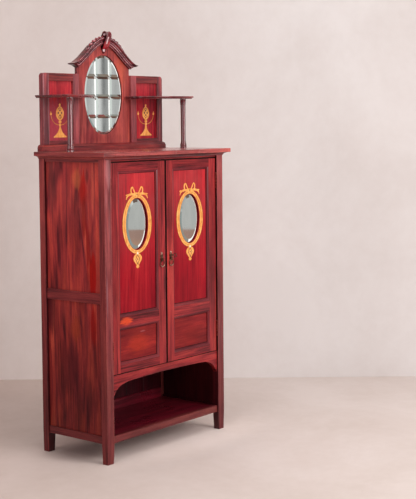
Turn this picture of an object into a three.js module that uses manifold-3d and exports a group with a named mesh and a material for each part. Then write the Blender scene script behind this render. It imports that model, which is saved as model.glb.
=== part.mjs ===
// Chiffonier: two-door cabinet on tall square legs with an open shelf below,
// a galleried back with an oval bevelled mirror, and two small turned-column shelves.
// Millimetres, +Z up, +X to the viewer's right, -Y is the front.
// Origin: on the floor, centred under the bounding box.
import * as THREE from 'three';
import { mergeVertices } from 'three/addons/utils/BufferGeometryUtils.js';
import Module from 'manifold-3d';

const wasm = await Module();
wasm.setup();

// ---------------------------------------------------------------- driving dimensions
const BODY_WIDTH = 710;
const BODY_DEPTH = 348;
const REAR = 186.5;                         // rear plane of the whole piece
const HALF = BODY_WIDTH / 2;                // outer faces of the posts
const FRONT = REAR - BODY_DEPTH;            // front faces of the posts
const POST_W = 38;
const POST_D = 30;
const POST_IN = HALF - POST_W;              // inner faces of the posts
const TAPER_Z = 76;                         // feet taper below this height
const BODY_TOP = 1161.5;

const TOP_THICK = 16;
const TOP_SIDE = 26;                        // overhang of the top board at the sides
const TOP_FRONT = 25;                       // and at the front
const TOP_Z = BODY_TOP + TOP_THICK;
const COVE_BOTTOM = 1149.5;

const RAIL_OUT = 350.5;                     // outer face of the side rails
const RAIL_IN = 330.5;
const SIDE_PANEL_OUT = 343.5;
const SIDE_PANEL_IN = 335.5;
const GROOVE = 5.5;                         // depth of the panel grooves
const TONGUE = 5;
const PLAY = 0.25;                          // fitting clearance

const DOOR_RECESS = 7;
const DOOR_FRONT = FRONT + DOOR_RECESS;
const DOOR_THICK = 20;
const DOOR_BACK = DOOR_FRONT + DOOR_THICK;
const DOOR_BOTTOM = 336;
const DOOR_TOP = 1140;
const DOOR_INNER = 2.5;                     // half of the gap between the doors
const DOOR_OUTER = 314.5;
const MEETING_STILE = 45;
const HINGE_STILE = 272;
const MOULD = 12;                           // width of the moulding round each panel
const UPPER_LOW = 552, UPPER_HIGH = 1105;   // flat-to-flat between the rails
const LOWER_LOW = 368, LOWER_HIGH = 510;
const PANEL_DEPTH = 8.5;                    // panels sit this far behind the door face
const PANEL_THICK = 6;
const OVAL_PANEL_THICK = 4;                 // thinner where a mirror lies behind
const OVAL_X = 158.5, OVAL_Z = 898;
const OVAL_RX = 62, OVAL_RZ = 99;           // sight size of a door mirror
const MIRROR_THICK = 4;

const APRON_TOP = 333;
const FLOOR_LOW = 322, FLOOR_HIGH = 341;
const SHELF_LOW = 79, SHELF_HIGH = 97;
const FRONT_RAIL_LOW = 74.5, FRONT_RAIL_HIGH = 101.5;
const SIDE_BOTTOM_LOW = 77, SIDE_BOTTOM_HIGH = 105;
const SIDE_MID_LOW = 607, SIDE_MID_HIGH = 647;
const SIDE_TOP_LOW = 1139.5;
const BACK_RAIL_HIGH = 137;

const HINGE_X = 315.75, HINGE_Y = -157.75;  // pin axis
const HINGE_Z = [430, 1046];
const HINGE_HALF = 32;
const KNUCKLE_R = 3;

const HANDLE_X = 27.5;
const PIVOT_Z = 750, PIVOT_Y = -159.25;     // axis of a drop handle
const KEY_Z = 762;

const PLINTH_X = 360, PLINTH_FRONT = 151.5, PLINTH_TOP = 1204;
const WING_IN = 153, WING_OUT = 350, WING_FRONT = 161.5, WING_BACK = 183.5, GALLERY_BACK = 185;
const WING_TOP = 1482;
const BOARD_FRONT = 172.5;
const GLASS_Z = 1400, GLASS_RX = 110.5, GLASS_RZ = 161, GLASS_DEPTH = 2.5, GLASS_THICK = 5;

const SHELF2_LOW = 1384.5, SHELF2_HIGH = 1395.5;
const SHELF2_OUT = 374, SHELF2_FRONT = 1.5, SHELF2_BACK = 181;
const COLUMN_X = 335.5, COLUMN_Y = 32;

// ---------------------------------------------------------------- solids
function toSolid(geometry) {
  const g = geometry.clone();
  g.deleteAttribute('normal');
  g.deleteAttribute('uv');
  const m = mergeVertices(g, 1e-4);
  const p = m.attributes.position.array;
  const idx = Array.from(m.index.array);
  const keep = [];
  let volume = 0;
  for (let i = 0; i < idx.length; i += 3) {
    const [a, b, c] = [idx[i], idx[i + 1], idx[i + 2]];
    if (a === b || b === c || a === c) continue;
    keep.push(a, b, c);
    const [ax, ay, az] = [p[3 * a], p[3 * a + 1], p[3 * a + 2]];
    const [bx, by, bz] = [p[3 * b], p[3 * b + 1], p[3 * b + 2]];
    const [cx, cy, cz] = [p[3 * c], p[3 * c + 1], p[3 * c + 2]];
    volume += ax * (by * cz - bz * cy) + ay * (bz * cx - bx * cz) + az * (bx * cy - by * cx);
  }
  if (volume < 0) {
    for (let i = 0; i < keep.length; i += 3) [keep[i + 1], keep[i + 2]] = [keep[i + 2], keep[i + 1]];
  }
  return new wasm.Manifold(new wasm.Mesh({
    numProp: 3,
    vertProperties: new Float32Array(p),
    triVerts: new Uint32Array(keep),
  }));
}

function toGeometry(solid) {
  const mesh = solid.getMesh();
  const n = mesh.numProp;
  const count = mesh.vertProperties.length / n;
  const position = new Float32Array(count * 3);
  for (let i = 0; i < count; i++) {
    position[3 * i] = mesh.vertProperties[n * i];
    position[3 * i + 1] = mesh.vertProperties[n * i + 1];
    position[3 * i + 2] = mesh.vertProperties[n * i + 2];
  }
  const g = new THREE.BufferGeometry();
  g.setAttribute('position', new THREE.BufferAttribute(position, 3));
  g.setIndex(new THREE.BufferAttribute(new Uint32Array(mesh.triVerts), 1));
  g.computeVertexNormals();
  return g;
}

function mapPoints(g, f) {
  const a = g.attributes.position;
  for (let i = 0; i < a.count; i++) {
    const [x, y, z] = f(a.getX(i), a.getY(i), a.getZ(i));
    a.setXYZ(i, x, y, z);
  }
  return g;
}

// box between two corners
function box(x0, x1, y0, y1, z0, z1) {
  return toSolid(mapPoints(new THREE.BoxGeometry(1, 1, 1),
    (x, y, z) => [x > 0 ? x1 : x0, y > 0 ? y1 : y0, z > 0 ? z1 : z0]));
}

// rectangles stacked along Z: [z, x0, x1, y0, y1]
function loftZ(levels) {
  const n = levels.length - 1;
  return toSolid(mapPoints(new THREE.BoxGeometry(1, 1, 1, 1, 1, n), (x, y, z) => {
    const [lz, x0, x1, y0, y1] = levels[Math.round((z + 0.5) * n)];
    return [x > 0 ? x1 : x0, y > 0 ? y1 : y0, lz];
  }));
}

// rectangles stacked along Y: [y, x0, x1, z0, z1]
function loftY(levels) {
  const n = levels.length - 1;
  return toSolid(mapPoints(new THREE.BoxGeometry(1, 1, 1, 1, n, 1), (x, y, z) => {
    const [ly, x0, x1, z0, z1] = levels[Math.round((y + 0.5) * n)];
    return [x > 0 ? x1 : x0, ly, z > 0 ? z1 : z0];
  }));
}

function shapeOf(points) {
  return new THREE.Shape(points.map(([a, b]) => new THREE.Vector2(a, b)));
}
function extruded(points) {
  return new THREE.ExtrudeGeometry(shapeOf(points), { depth: 1, steps: 1, bevelEnabled: false });
}
// outline in X and Y, from z0 to z1
function prismXY(points, z0, z1) {
  return toSolid(mapPoints(extruded(points), (a, b, t) => [a, b, t > 0.5 ? z1 : z0]));
}
// outline in X and Z, from y0 to y1
function prismXZ(points, y0, y1) {
  return toSolid(mapPoints(extruded(points), (a, b, t) => [a, t > 0.5 ? y0 : y1, b]));
}
// outline in Y and Z, from x0 to x1
function prismYZ(points, x0, x1) {
  return toSolid(mapPoints(extruded(points), (a, b, t) => [t > 0.5 ? x1 : x0, a, b]));
}
function oval(cx, cz, rx, rz, n = 48) {
  const out = [];
  for (let i = 0; i < n; i++) {
    const t = (2 * Math.PI * (i + 0.5)) / n;
    out.push([cx + rx * Math.cos(t), cz + rz * Math.sin(t)]);
  }
  return out;
}
function turned(profile, segments = 16) {
  const g = new THREE.LatheGeometry(profile.map(([r, z]) => new THREE.Vector2(r, z)), segments);
  return toSolid(mapPoints(g, (x, y, z) => [x, -z, y]));
}
function rodX(y, z, r, x0, x1, n = 12) {
  return prismYZ(oval(y, z, r, r, n), x0, x1);
}
function rodY(x, z, r, y0, y1, n = 12) {
  return prismXZ(oval(x, z, r, r, n), y0, y1);
}
function rodZ(x, y, r, z0, z1, n = 12) {
  return prismXY(oval(x, y, r, r, n), z0, z1);
}
function union(...s) { return s.reduce((a, b) => a.add(b)); }
function minus(a, ...s) { return s.reduce((x, y) => x.subtract(y), a); }
function mirrored(solid) {
  const g = mapPoints(toGeometry(solid), (x, y, z) => [-x, y, z]);
  const i = g.index.array;
  for (let k = 0; k < i.length; k += 3) [i[k + 1], i[k + 2]] = [i[k + 2], i[k + 1]];
  return g;
}

// ---------------------------------------------------------------- materials
const mat = (color, roughness, metalness = 0) =>
  new THREE.MeshStandardMaterial({ color, roughness, metalness });
const mahogany = mat(0x7a2a26, 0.38);
const panelRed = mat(0x9c1f26, 0.36);
const flame = mat(0x6a1a14, 0.36);
const plainWood = mat(0x5a2018, 0.6);
const galleryRed = mat(0x8a2a22, 0.38);
const glass = mat(0xa8b0b4, 0.05, 0.9);
const brass = mat(0x7a6238, 0.42, 0.9);
const steel = mat(0x6a665c, 0.45, 0.9);

const chiffonier = new THREE.Group();
const carcase = new THREE.Group();
const gallery = new THREE.Group();
const leftDoor = new THREE.Group();
const rightDoor = new THREE.Group();
chiffonier.add(carcase, gallery, leftDoor, rightDoor);

function piece(parent, name, shape, material, x = 0, y = 0, z = 0) {
  const geometry = shape.isBufferGeometry ? shape : toGeometry(shape);
  geometry.computeVertexNormals();
  const m = new THREE.Mesh(geometry, material);
  m.name = name;
  m.position.set(x, y, z);
  parent.add(m);
  return m;
}
function pair(parent, name, solid, material) {
  piece(parent, name + '_right', solid, material);
  piece(parent, name + '_left', mirrored(solid), material);
}

// ---------------------------------------------------------------- posts
// right-hand post; y0/y1 are its faces, f = -1 for a front post, 1 for a back post
function post(y0, y1, f) {
  const foot = f < 0 ? [y0 + 1.5, y1 - 1.5] : [y0 + 1.5, y1];
  return loftZ([
    [0, POST_IN + 4, HALF - 2, foot[0], foot[1]],
    [TAPER_Z, POST_IN, HALF, y0, y1],
    [BODY_TOP, POST_IN, HALF, y0, y1],
  ]);
}
const FRONT_POST_BACK = FRONT + POST_D;
const BACK_POST_FRONT = REAR - POST_D;
const panelSlot = (y0, y1) =>
  box(SIDE_PANEL_IN - PLAY, SIDE_PANEL_OUT + PLAY, y0, y1, 82, BODY_TOP + 5);
const BACK_PANEL_FRONT = 166, BACK_PANEL_BACK = 174;

pair(carcase, 'post_front', minus(post(FRONT, FRONT_POST_BACK, -1),
  panelSlot(FRONT_POST_BACK - GROOVE, FRONT_POST_BACK + 5),
  ...HINGE_Z.map((z) => box(POST_IN - 5, POST_IN + 2.25, FRONT - 5, DOOR_FRONT + PLAY,
    z - HINGE_HALF - 1, z + HINGE_HALF + 1))), mahogany);
pair(carcase, 'post_back', minus(post(BACK_POST_FRONT, REAR, 1),
  panelSlot(BACK_POST_FRONT - 5, BACK_POST_FRONT + GROOVE),
  box(POST_IN - 5, POST_IN + GROOVE, BACK_PANEL_FRONT - PLAY, BACK_PANEL_BACK + PLAY, 131, BODY_TOP + 5)),
  mahogany);

// ---------------------------------------------------------------- side frames
const sideRail = (z0, z1, lowSlot, highSlot) => {
  let rail = box(RAIL_IN, RAIL_OUT, FRONT_POST_BACK, BACK_POST_FRONT, z0, z1);
  if (lowSlot) rail = minus(rail, box(SIDE_PANEL_IN - PLAY, SIDE_PANEL_OUT + PLAY, FRONT_POST_BACK - 5,
    BACK_POST_FRONT + 5, z0 - 5, z0 + GROOVE));
  if (highSlot) rail = minus(rail, box(SIDE_PANEL_IN - PLAY, SIDE_PANEL_OUT + PLAY, FRONT_POST_BACK - 5,
    BACK_POST_FRONT + 5, z1 - GROOVE, z1 + 5));
  return rail;
};
pair(carcase, 'side_top_rail', sideRail(SIDE_TOP_LOW, BODY_TOP, true, false), mahogany);
pair(carcase, 'side_mid_rail', sideRail(SIDE_MID_LOW, SIDE_MID_HIGH, true, true), mahogany);
pair(carcase, 'side_bottom_rail', sideRail(SIDE_BOTTOM_LOW, SIDE_BOTTOM_HIGH, false, true), mahogany);
const sidePanel = (z0, z1) => box(SIDE_PANEL_IN, SIDE_PANEL_OUT, FRONT_POST_BACK - TONGUE,
  BACK_POST_FRONT + TONGUE, z0 - TONGUE, z1 + TONGUE);
pair(carcase, 'side_panel_upper', sidePanel(SIDE_MID_HIGH, SIDE_TOP_LOW), flame);
pair(carcase, 'side_panel_lower', sidePanel(SIDE_BOTTOM_HIGH, SIDE_MID_LOW), flame);

// ---------------------------------------------------------------- back
{
  // upright boards with a V at each joint, both faces
  const half = POST_IN + TONGUE, boards = 6, v = 1.5;
  const front = [], back = [];
  for (let i = 1; i < boards; i++) {
    const x = -half + (2 * half * i) / boards;
    front.push([x - v, BACK_PANEL_FRONT], [x, BACK_PANEL_FRONT + v], [x + v, BACK_PANEL_FRONT]);
    back.unshift([x + v, BACK_PANEL_BACK], [x, BACK_PANEL_BACK - v], [x - v, BACK_PANEL_BACK]);
  }
  piece(carcase, 'back_panel', prismXY([[-half, BACK_PANEL_FRONT], ...front, [half, BACK_PANEL_FRONT],
    [half, BACK_PANEL_BACK], ...back, [-half, BACK_PANEL_BACK]], BACK_RAIL_HIGH - TONGUE, BODY_TOP), plainWood);
  piece(carcase, 'back_bottom_rail', minus(prismYZ([[BACK_POST_FRONT, SIDE_BOTTOM_LOW], [178, SIDE_BOTTOM_LOW],
    [178, BACK_RAIL_HIGH], [163.5, BACK_RAIL_HIGH], [159.5, 135], [BACK_POST_FRONT, 129]], -POST_IN, POST_IN),
  box(-POST_IN - 5, POST_IN + 5, BACK_PANEL_FRONT - PLAY, BACK_PANEL_BACK + PLAY,
    BACK_RAIL_HIGH - GROOVE, BACK_RAIL_HIGH + 5)), mahogany);
}

// ---------------------------------------------------------------- front rails and apron
piece(carcase, 'front_top_rail', box(-POST_IN, POST_IN, DOOR_FRONT, DOOR_BACK, 1142, BODY_TOP), mahogany);
piece(carcase, 'lower_front_rail', box(-POST_IN, POST_IN, DOOR_FRONT, DOOR_BACK,
  FRONT_RAIL_LOW, FRONT_RAIL_HIGH), mahogany);
{
  const half = [[190, 301.5], [217, 300], [243, 297.5], [263, 293], [276.5, 287.5], [289.5, 279],
    [299.5, 269], [306, 260], [312.5, 250], [317, 243]];
  const curve = [...half.map(([x, z]) => [-x, z]).reverse(), [-100, 303.5], [0, 304.5], [100, 303.5], ...half];
  piece(carcase, 'apron', prismXZ([...curve, [POST_IN, APRON_TOP], [-POST_IN, APRON_TOP]],
    DOOR_FRONT, DOOR_BACK), mahogany);
}

// ---------------------------------------------------------------- boards inside
{
  const wide = SIDE_PANEL_IN - PLAY, narrow = POST_IN - PLAY;
  const y0 = DOOR_BACK + PLAY, y1 = FRONT_POST_BACK + PLAY, y2 = BACK_POST_FRONT - PLAY;
  piece(carcase, 'cabinet_floor', prismXY([[-narrow, y0], [narrow, y0], [narrow, y1], [wide, y1], [wide, y2],
    [narrow, y2], [narrow, BACK_PANEL_FRONT - PLAY], [-narrow, BACK_PANEL_FRONT - PLAY], [-narrow, y2],
    [-wide, y2], [-wide, y1], [-narrow, y1]], FLOOR_LOW, FLOOR_HIGH), plainWood);
  piece(carcase, 'inner_shelf', box(-wide, wide, y1, y2, SIDE_MID_HIGH, SIDE_MID_HIGH + 16), plainWood);
  const w = RAIL_IN - PLAY;
  piece(carcase, 'lower_shelf', prismXY([[-narrow, y0], [narrow, y0], [narrow, y1], [w, y1], [w, y2],
    [-w, y2], [-w, y1], [-narrow, y1]], SHELF_LOW, SHELF_HIGH), mahogany);
}

// ---------------------------------------------------------------- top and cove
piece(carcase, 'top_board', box(-HALF - TOP_SIDE, HALF + TOP_SIDE, FRONT - TOP_FRONT, REAR, BODY_TOP, TOP_Z), mahogany);
{
  const profile = [[COVE_BOTTOM, 1.5], [1151, 1.75], [1153.25, 2.75], [1155.5, 4.5], [1157.5, 7],
    [1159, 10], [1160, 13.5], [1160, 15], [BODY_TOP, 15]];
  const outer = loftZ(profile.map(([z, o]) => [z, -HALF - o, HALF + o, FRONT - o, REAR]));
  piece(carcase, 'cove_moulding', minus(outer, box(-HALF, HALF, FRONT, REAR + 20, 1100, 1200)), mahogany);
}

// ---------------------------------------------------------------- doors
// the right door; the left one mirrors it
function openingCut(x0, x1, z0, z1) {
  const steps = [[-5, 0], [0, 0], [1.5, 0], [2.5, 3.5], [4.5, 7.5], [7, 10.5], [PANEL_DEPTH, 11],
    [PANEL_DEPTH, MOULD], [DOOR_THICK + 5, MOULD]];
  return loftY(steps.map(([d, i]) => [DOOR_FRONT + d, x0 + i, x1 - i, z0 + i, z1 - i]));
}
const REBATE = 7;
function rebateCut(x0, x1, z0, z1) {
  return box(x0 + MOULD - REBATE, x1 - MOULD + REBATE, DOOR_FRONT + PANEL_DEPTH, DOOR_BACK + 5,
    z0 + MOULD - REBATE, z1 - MOULD + REBATE);
}
function panelBoard(x0, x1, z0, z1, thick) {
  const r = MOULD - REBATE + PLAY;
  return box(x0 + r, x1 - r, DOOR_FRONT + PANEL_DEPTH, DOOR_FRONT + PANEL_DEPTH + thick, z0 + r, z1 - r);
}
const doorFrame = minus(box(DOOR_INNER, DOOR_OUTER, DOOR_FRONT, DOOR_BACK, DOOR_BOTTOM, DOOR_TOP),
  openingCut(MEETING_STILE, HINGE_STILE, UPPER_LOW, UPPER_HIGH),
  openingCut(MEETING_STILE, HINGE_STILE, LOWER_LOW, LOWER_HIGH),
  rebateCut(MEETING_STILE, HINGE_STILE, UPPER_LOW, UPPER_HIGH),
  rebateCut(MEETING_STILE, HINGE_STILE, LOWER_LOW, LOWER_HIGH));
const upperPanel = minus(panelBoard(MEETING_STILE, HINGE_STILE, UPPER_LOW, UPPER_HIGH, OVAL_PANEL_THICK),
  prismXZ(oval(OVAL_X, OVAL_Z, OVAL_RX, OVAL_RZ), DOOR_FRONT, DOOR_BACK));
const lowerPanel = panelBoard(MEETING_STILE, HINGE_STILE, LOWER_LOW, LOWER_HIGH, PANEL_THICK);
const PANEL_BACK = DOOR_FRONT + PANEL_DEPTH + OVAL_PANEL_THICK;
const doorMirror = prismXZ(oval(OVAL_X, OVAL_Z, OVAL_RX + 6, OVAL_RZ + 6), PANEL_BACK, PANEL_BACK + MIRROR_THICK);

// the lock is let into the back of the right door's meeting stile
const LOCK = { x0: 2.5, x1: 39.5, y0: -144.5, z0: 738, z1: 798 };
const BOLT_Z0 = 767, BOLT_Z1 = 781;
const keyway = (r, y0, y1) => union(rodY(HANDLE_X, KEY_Z, r, y0, y1, 16),
  box(HANDLE_X - 2, HANDLE_X + 2, y0, y1, KEY_Z - 10, KEY_Z));
piece(rightDoor, 'right_door_frame', minus(doorFrame,
  box(LOCK.x0 - 5, LOCK.x1, LOCK.y0, DOOR_BACK + 5, LOCK.z0, LOCK.z1),
  keyway(3, DOOR_FRONT - 5, LOCK.y0 + 1)), mahogany);
piece(leftDoor, 'left_door_frame', mirrored(minus(doorFrame,
  box(DOOR_INNER - 5, 14, -142, -137, BOLT_Z0 - 1, BOLT_Z1 + 1))), mahogany);
for (const [side, group, flip] of [['right', rightDoor, false], ['left', leftDoor, true]]) {
  const put = (name, solid, m) => piece(group, side + name, flip ? mirrored(solid) : solid, m);
  put('_door_upper_panel', upperPanel, panelRed);
  put('_door_lower_panel', lowerPanel, panelRed);
  put('_door_mirror', doorMirror, glass);
}

// ---------------------------------------------------------------- lock, bolt and key
piece(rightDoor, 'lock_case', minus(
  box(LOCK.x0 + PLAY, LOCK.x1 - PLAY, LOCK.y0 + PLAY, DOOR_BACK, LOCK.z0 + PLAY, LOCK.z1 - PLAY),
  box(-5, 34, -142, -137, BOLT_Z0 - 0.5, BOLT_Z1 + 0.5),
  box(HANDLE_X - 10.5, HANDLE_X + 10.5, -142, -137, KEY_Z - 10.5, KEY_Z + 10.5),
  keyway(3, LOCK.y0 - 5, -141)), brass);
piece(rightDoor, 'lock_bolt', box(3, 31, -141.5, -137.5, BOLT_Z0, BOLT_Z1), steel);
{
  // kidney-shaped bow standing upright, round shank, single bit pointing down
  const bow = toSolid(mapPoints(new THREE.TorusGeometry(7.6, 1.5, 8, 24), (x, y, z) => {
    const dent = 1 - 0.16 * Math.max(0, -x / 9.1) ** 2;
    return [z, x, y * 0.98 * dent];
  }));
  const placed = mapPoints(toGeometry(bow), (x, y, z) => [x + HANDLE_X, y - 177, z + KEY_Z]);
  piece(rightDoor, 'key', union(toSolid(placed),
    rodY(HANDLE_X, KEY_Z, 2, -169.5, -137.5, 12),
    rodY(HANDLE_X, KEY_Z, 3, -167.5, -164.5, 12),
    rodY(HANDLE_X, KEY_Z, 2.75, -159, -157.5, 12),
    box(HANDLE_X - 1.25, HANDLE_X + 1.25, -141.5, -137.5, KEY_Z - 9, KEY_Z)), steel);
}

// ---------------------------------------------------------------- drop handles
{
  const outline = [[0, 740], [2.5, 741.5], [5, 744], [7.5, 747.5], [7.5, 752], [6.5, 755.5], [8.5, 759],
    [8.5, 764.5], [6.5, 768], [4, 770], [5, 773], [3.5, 776.5], [0, 778.5]];
  const full = [...outline.map(([x, z]) => [HANDLE_X + x, z]),
    ...outline.slice(1, -1).reverse().map(([x, z]) => [HANDLE_X - x, z])];
  const back = DOOR_FRONT, face = DOOR_FRONT - 1.5;
  const dome = mapPoints(toGeometry(turned([[0, 0], [4.2, 0], [4, 1.4], [2.8, 2.8], [0, 3.4]], 16)),
    (x, y, z) => [x + HANDLE_X, face + 0.5 - z, y + 773]);
  const ear = (x0, x1) => prismYZ([[PIVOT_Y - 2.25, 749], [PIVOT_Y - 1, 747.25], [face + 0.5, 746.75],
    [face + 0.5, 753.25], [PIVOT_Y - 1, 752.75], [PIVOT_Y - 2.25, 751]], x0, x1);
  const plate = union(prismXZ(full, face, back), toSolid(dome),
    ear(HANDLE_X - 6.5, HANDLE_X - 4.5), ear(HANDLE_X + 4.5, HANDLE_X + 6.5),
    rodX(PIVOT_Y, PIVOT_Z, 1, HANDLE_X - 6, HANDLE_X + 6, 10));
  const loop = toSolid(mapPoints(new THREE.TorusGeometry(12.2, 1.8, 8, 28), (x, y, z) => {
    const pinch = 1 - 0.12 * Math.max(0, y / 14);
    return [HANDLE_X + x * pinch, PIVOT_Y + z, 733.25 + y * 1.02];
  }));
  const drop = minus(union(loop,
    rodX(PIVOT_Y, PIVOT_Z, 2.5, HANDLE_X - 4.2, HANDLE_X + 4.2, 12),
    box(HANDLE_X - 2, HANDLE_X + 2, PIVOT_Y - 1.75, PIVOT_Y + 1.75, 744.5, 749)),
  rodX(PIVOT_Y, PIVOT_Z, 1.4, HANDLE_X - 8, HANDLE_X + 8, 12));
  piece(rightDoor, 'right_handle_plate', minus(plate, keyway(2.75, DOOR_FRONT - 3, DOOR_FRONT + 5)), brass);
  piece(leftDoor, 'left_handle_plate', mirrored(plate), brass);
  piece(rightDoor, 'right_handle_drop', drop, brass);
  piece(leftDoor, 'left_handle_drop', mirrored(drop), brass);
}

// ---------------------------------------------------------------- hinges
{
  const h = HINGE_HALF, mid = 10.5, split = 11;
  const leafBack = DOOR_BACK - 1.5;
  const fixed = (z) => union(
    box(POST_IN - 0.75, POST_IN, DOOR_FRONT + PLAY, leafBack, z - h, z + h),
    box(POST_IN - 0.75, POST_IN, HINGE_Y, DOOR_FRONT + 1, z - mid, z + mid),
    rodZ(HINGE_X, HINGE_Y, KNUCKLE_R, z - mid, z + mid, 16),
    rodZ(HINGE_X, HINGE_Y, 1.4, z - h, z + h, 12));
  const moving = (z) => minus(union(
    box(DOOR_OUTER, DOOR_OUTER + 0.75, DOOR_FRONT + PLAY, leafBack, z - h, z + h),
    box(DOOR_OUTER, DOOR_OUTER + 0.75, HINGE_Y, DOOR_FRONT + 1, z + split, z + h),
    box(DOOR_OUTER, DOOR_OUTER + 0.75, HINGE_Y, DOOR_FRONT + 1, z - h, z - split),
    rodZ(HINGE_X, HINGE_Y, KNUCKLE_R, z + split, z + h, 16),
    rodZ(HINGE_X, HINGE_Y, KNUCKLE_R, z - h, z - split, 16)),
  rodZ(HINGE_X, HINGE_Y, 1.75, z - h - 5, z + h + 5, 12));
  const label = ['lower', 'upper'];
  HINGE_Z.forEach((z, i) => {
    piece(carcase, `hinge_${label[i]}_post_leaf_right`, fixed(z), brass);
    piece(carcase, `hinge_${label[i]}_post_leaf_left`, mirrored(fixed(z)), brass);
    piece(rightDoor, `hinge_${label[i]}_door_leaf_right`, moving(z), brass);
    piece(leftDoor, `hinge_${label[i]}_door_leaf_left`, mirrored(moving(z)), brass);
  });
}

// ---------------------------------------------------------------- gallery
{
  const profile = [[TOP_Z, 0], [1193.5, 0], [1193.5, 1], [1197, 2], [1200, 4], [1202.5, 6.5], [PLINTH_TOP, 9]];
  piece(gallery, 'gallery_plinth', loftZ(profile.map(([z, o]) =>
    [z, -PLINTH_X + o, PLINTH_X - o, PLINTH_FRONT + o, REAR])), galleryRed);

  // wing: four-sided frame with a rounded outer top corner, panel set in from behind
  const r = 14, corner = [];
  for (let i = 0; i <= 5; i++) {
    const t = (Math.PI / 2) * (i / 5);
    corner.push([WING_OUT - r + r * Math.cos(t), WING_TOP - r + r * Math.sin(t)]);
  }
  const px0 = 186, px1 = 318, pz0 = 1219, pz1 = 1452.5, py = 170;
  pair(gallery, 'gallery_wing_frame', minus(
    prismXZ([[WING_IN, PLINTH_TOP], [WING_OUT, PLINTH_TOP], ...corner, [WING_IN, WING_TOP]], WING_FRONT, WING_BACK),
    box(px0, px1, WING_FRONT - 5, GALLERY_BACK + 5, pz0, pz1),
    box(px0 - 6, px1 + 6, py, GALLERY_BACK + 5, pz0 - 6, pz1 + 6)), galleryRed);
  pair(gallery, 'gallery_wing_panel', box(px0 - 5.75, px1 + 5.75, py, py + 6, pz0 - 5.75, pz1 + 5.75), panelRed);
}

// arched heads: half-curves as [x, z], from the centre outwards
const ARCH_TOP = [[0, 1631], [18, 1629], [37, 1623], [55, 1614.5], [73, 1603], [88, 1592], [109, 1574],
  [133, 1554], [157, 1537], [175, 1527.5], [190, 1524]];
const ARCH_LOW = [[0, 1605], [31, 1597], [62, 1577], [91, 1554], [120, 1531], [153, 1507]];
const BOARD_TOP = [[0, 1617], [31, 1609], [62, 1590], [91, 1567], [120, 1544.5], [WING_IN - PLAY, 1520]];
const whole = (half) => [...half.slice(1).map(([x, z]) => [-x, z]).reverse(), ...half];
function archZ(curve, x) {
  const a = Math.abs(x);
  for (let i = 1; i < curve.length; i++) {
    if (a <= curve[i][0]) {
      const [x0, z0] = curve[i - 1], [x1, z1] = curve[i];
      return z0 + ((z1 - z0) * (a - x0)) / (x1 - x0);
    }
  }
  return curve[curve.length - 1][1];
}
{
  const edge = WING_IN - PLAY;
  const outline = (grow) => [[-edge - grow, PLINTH_TOP], [edge + grow, PLINTH_TOP],
    ...whole(BOARD_TOP.map(([x, z]) => [x >= edge ? edge + grow : x, z + grow])).reverse()];
  const glassFace = BOARD_FRONT + GLASS_DEPTH;
  piece(gallery, 'gallery_centre_board', minus(prismXZ(outline(0), BOARD_FRONT, GALLERY_BACK),
    prismXZ(oval(0, GLASS_Z, GLASS_RX, GLASS_RZ, 64), BOARD_FRONT - 5, GALLERY_BACK + 5),
    prismXZ(oval(0, GLASS_Z, GLASS_RX + 5.5, GLASS_RZ + 5.5, 64), glassFace, GALLERY_BACK + 5)), galleryRed);
  piece(gallery, 'gallery_mirror', prismXZ(oval(0, GLASS_Z, GLASS_RX + 5, GLASS_RZ + 5, 64),
    glassFace, glassFace + GLASS_THICK), glass);

  // swept cornice in three steps, hollowed over the board's edge and cleared for the carved bracket
  const band = (lift, y0) => {
    const low = ARCH_LOW.map(([x, z]) => [x, z + lift]);
    const tip = [[165, 1514 + lift * 0.6], [177, 1517.5 + lift * 0.25], [190, 1519.5]];
    return prismXZ([...whole([...low, ...tip]), ...whole(ARCH_TOP).reverse()], y0, GALLERY_BACK);
  };
  piece(gallery, 'cornice_moulding', minus(union(band(0, 163.5), band(8, 157), band(16, 151)),
    prismXZ(outline(PLAY), BOARD_FRONT - PLAY, GALLERY_BACK + 5),
    box(-15.5, 15.5, 100, BOARD_FRONT - PLAY, 1500, 1700)), galleryRed);

  // carved bracket: scroll, fluted body and drop, with a leaf spray along each slope
  const side = [[172, 1584], [165, 1584.5], [157.5, 1592], [150.5, 1603], [146, 1613], [143.5, 1621],
    [139.5, 1628], [137, 1636], [137, 1644], [140, 1651.5], [145.5, 1656.5], [152, 1658], [158.5, 1656.5],
    [163.5, 1652], [166, 1646], [172, 1638]];
  const sprayX = [8, 30, 42, 56, 70, 84, 96, 104, 108];
  const rise = [6, 9, 12, 13.5, 14, 13, 10, 6, 1];
  const under = prismXZ([[-190, 1400], [190, 1400], ...whole(ARCH_TOP.map(([x, z]) => [x, z + 0.3])).reverse()], 140, 190);
  const spray = (s) => minus(prismXZ([
    ...sprayX.map((x) => [s * x, archZ(ARCH_TOP, x) - 4]),
    ...sprayX.map((x, i) => [s * x, archZ(ARCH_TOP, x) + 0.3 + rise[i]]).reverse()], 151.5, 169), under);
  const drop = prismXZ([[-11, 1588], [-9, 1577], [0, 1568], [9, 1577], [11, 1588]], 166, 172);
  piece(gallery, 'carved_crest', union(prismYZ(side, -15, 15), drop, spray(1), spray(-1)), galleryRed);
}

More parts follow.
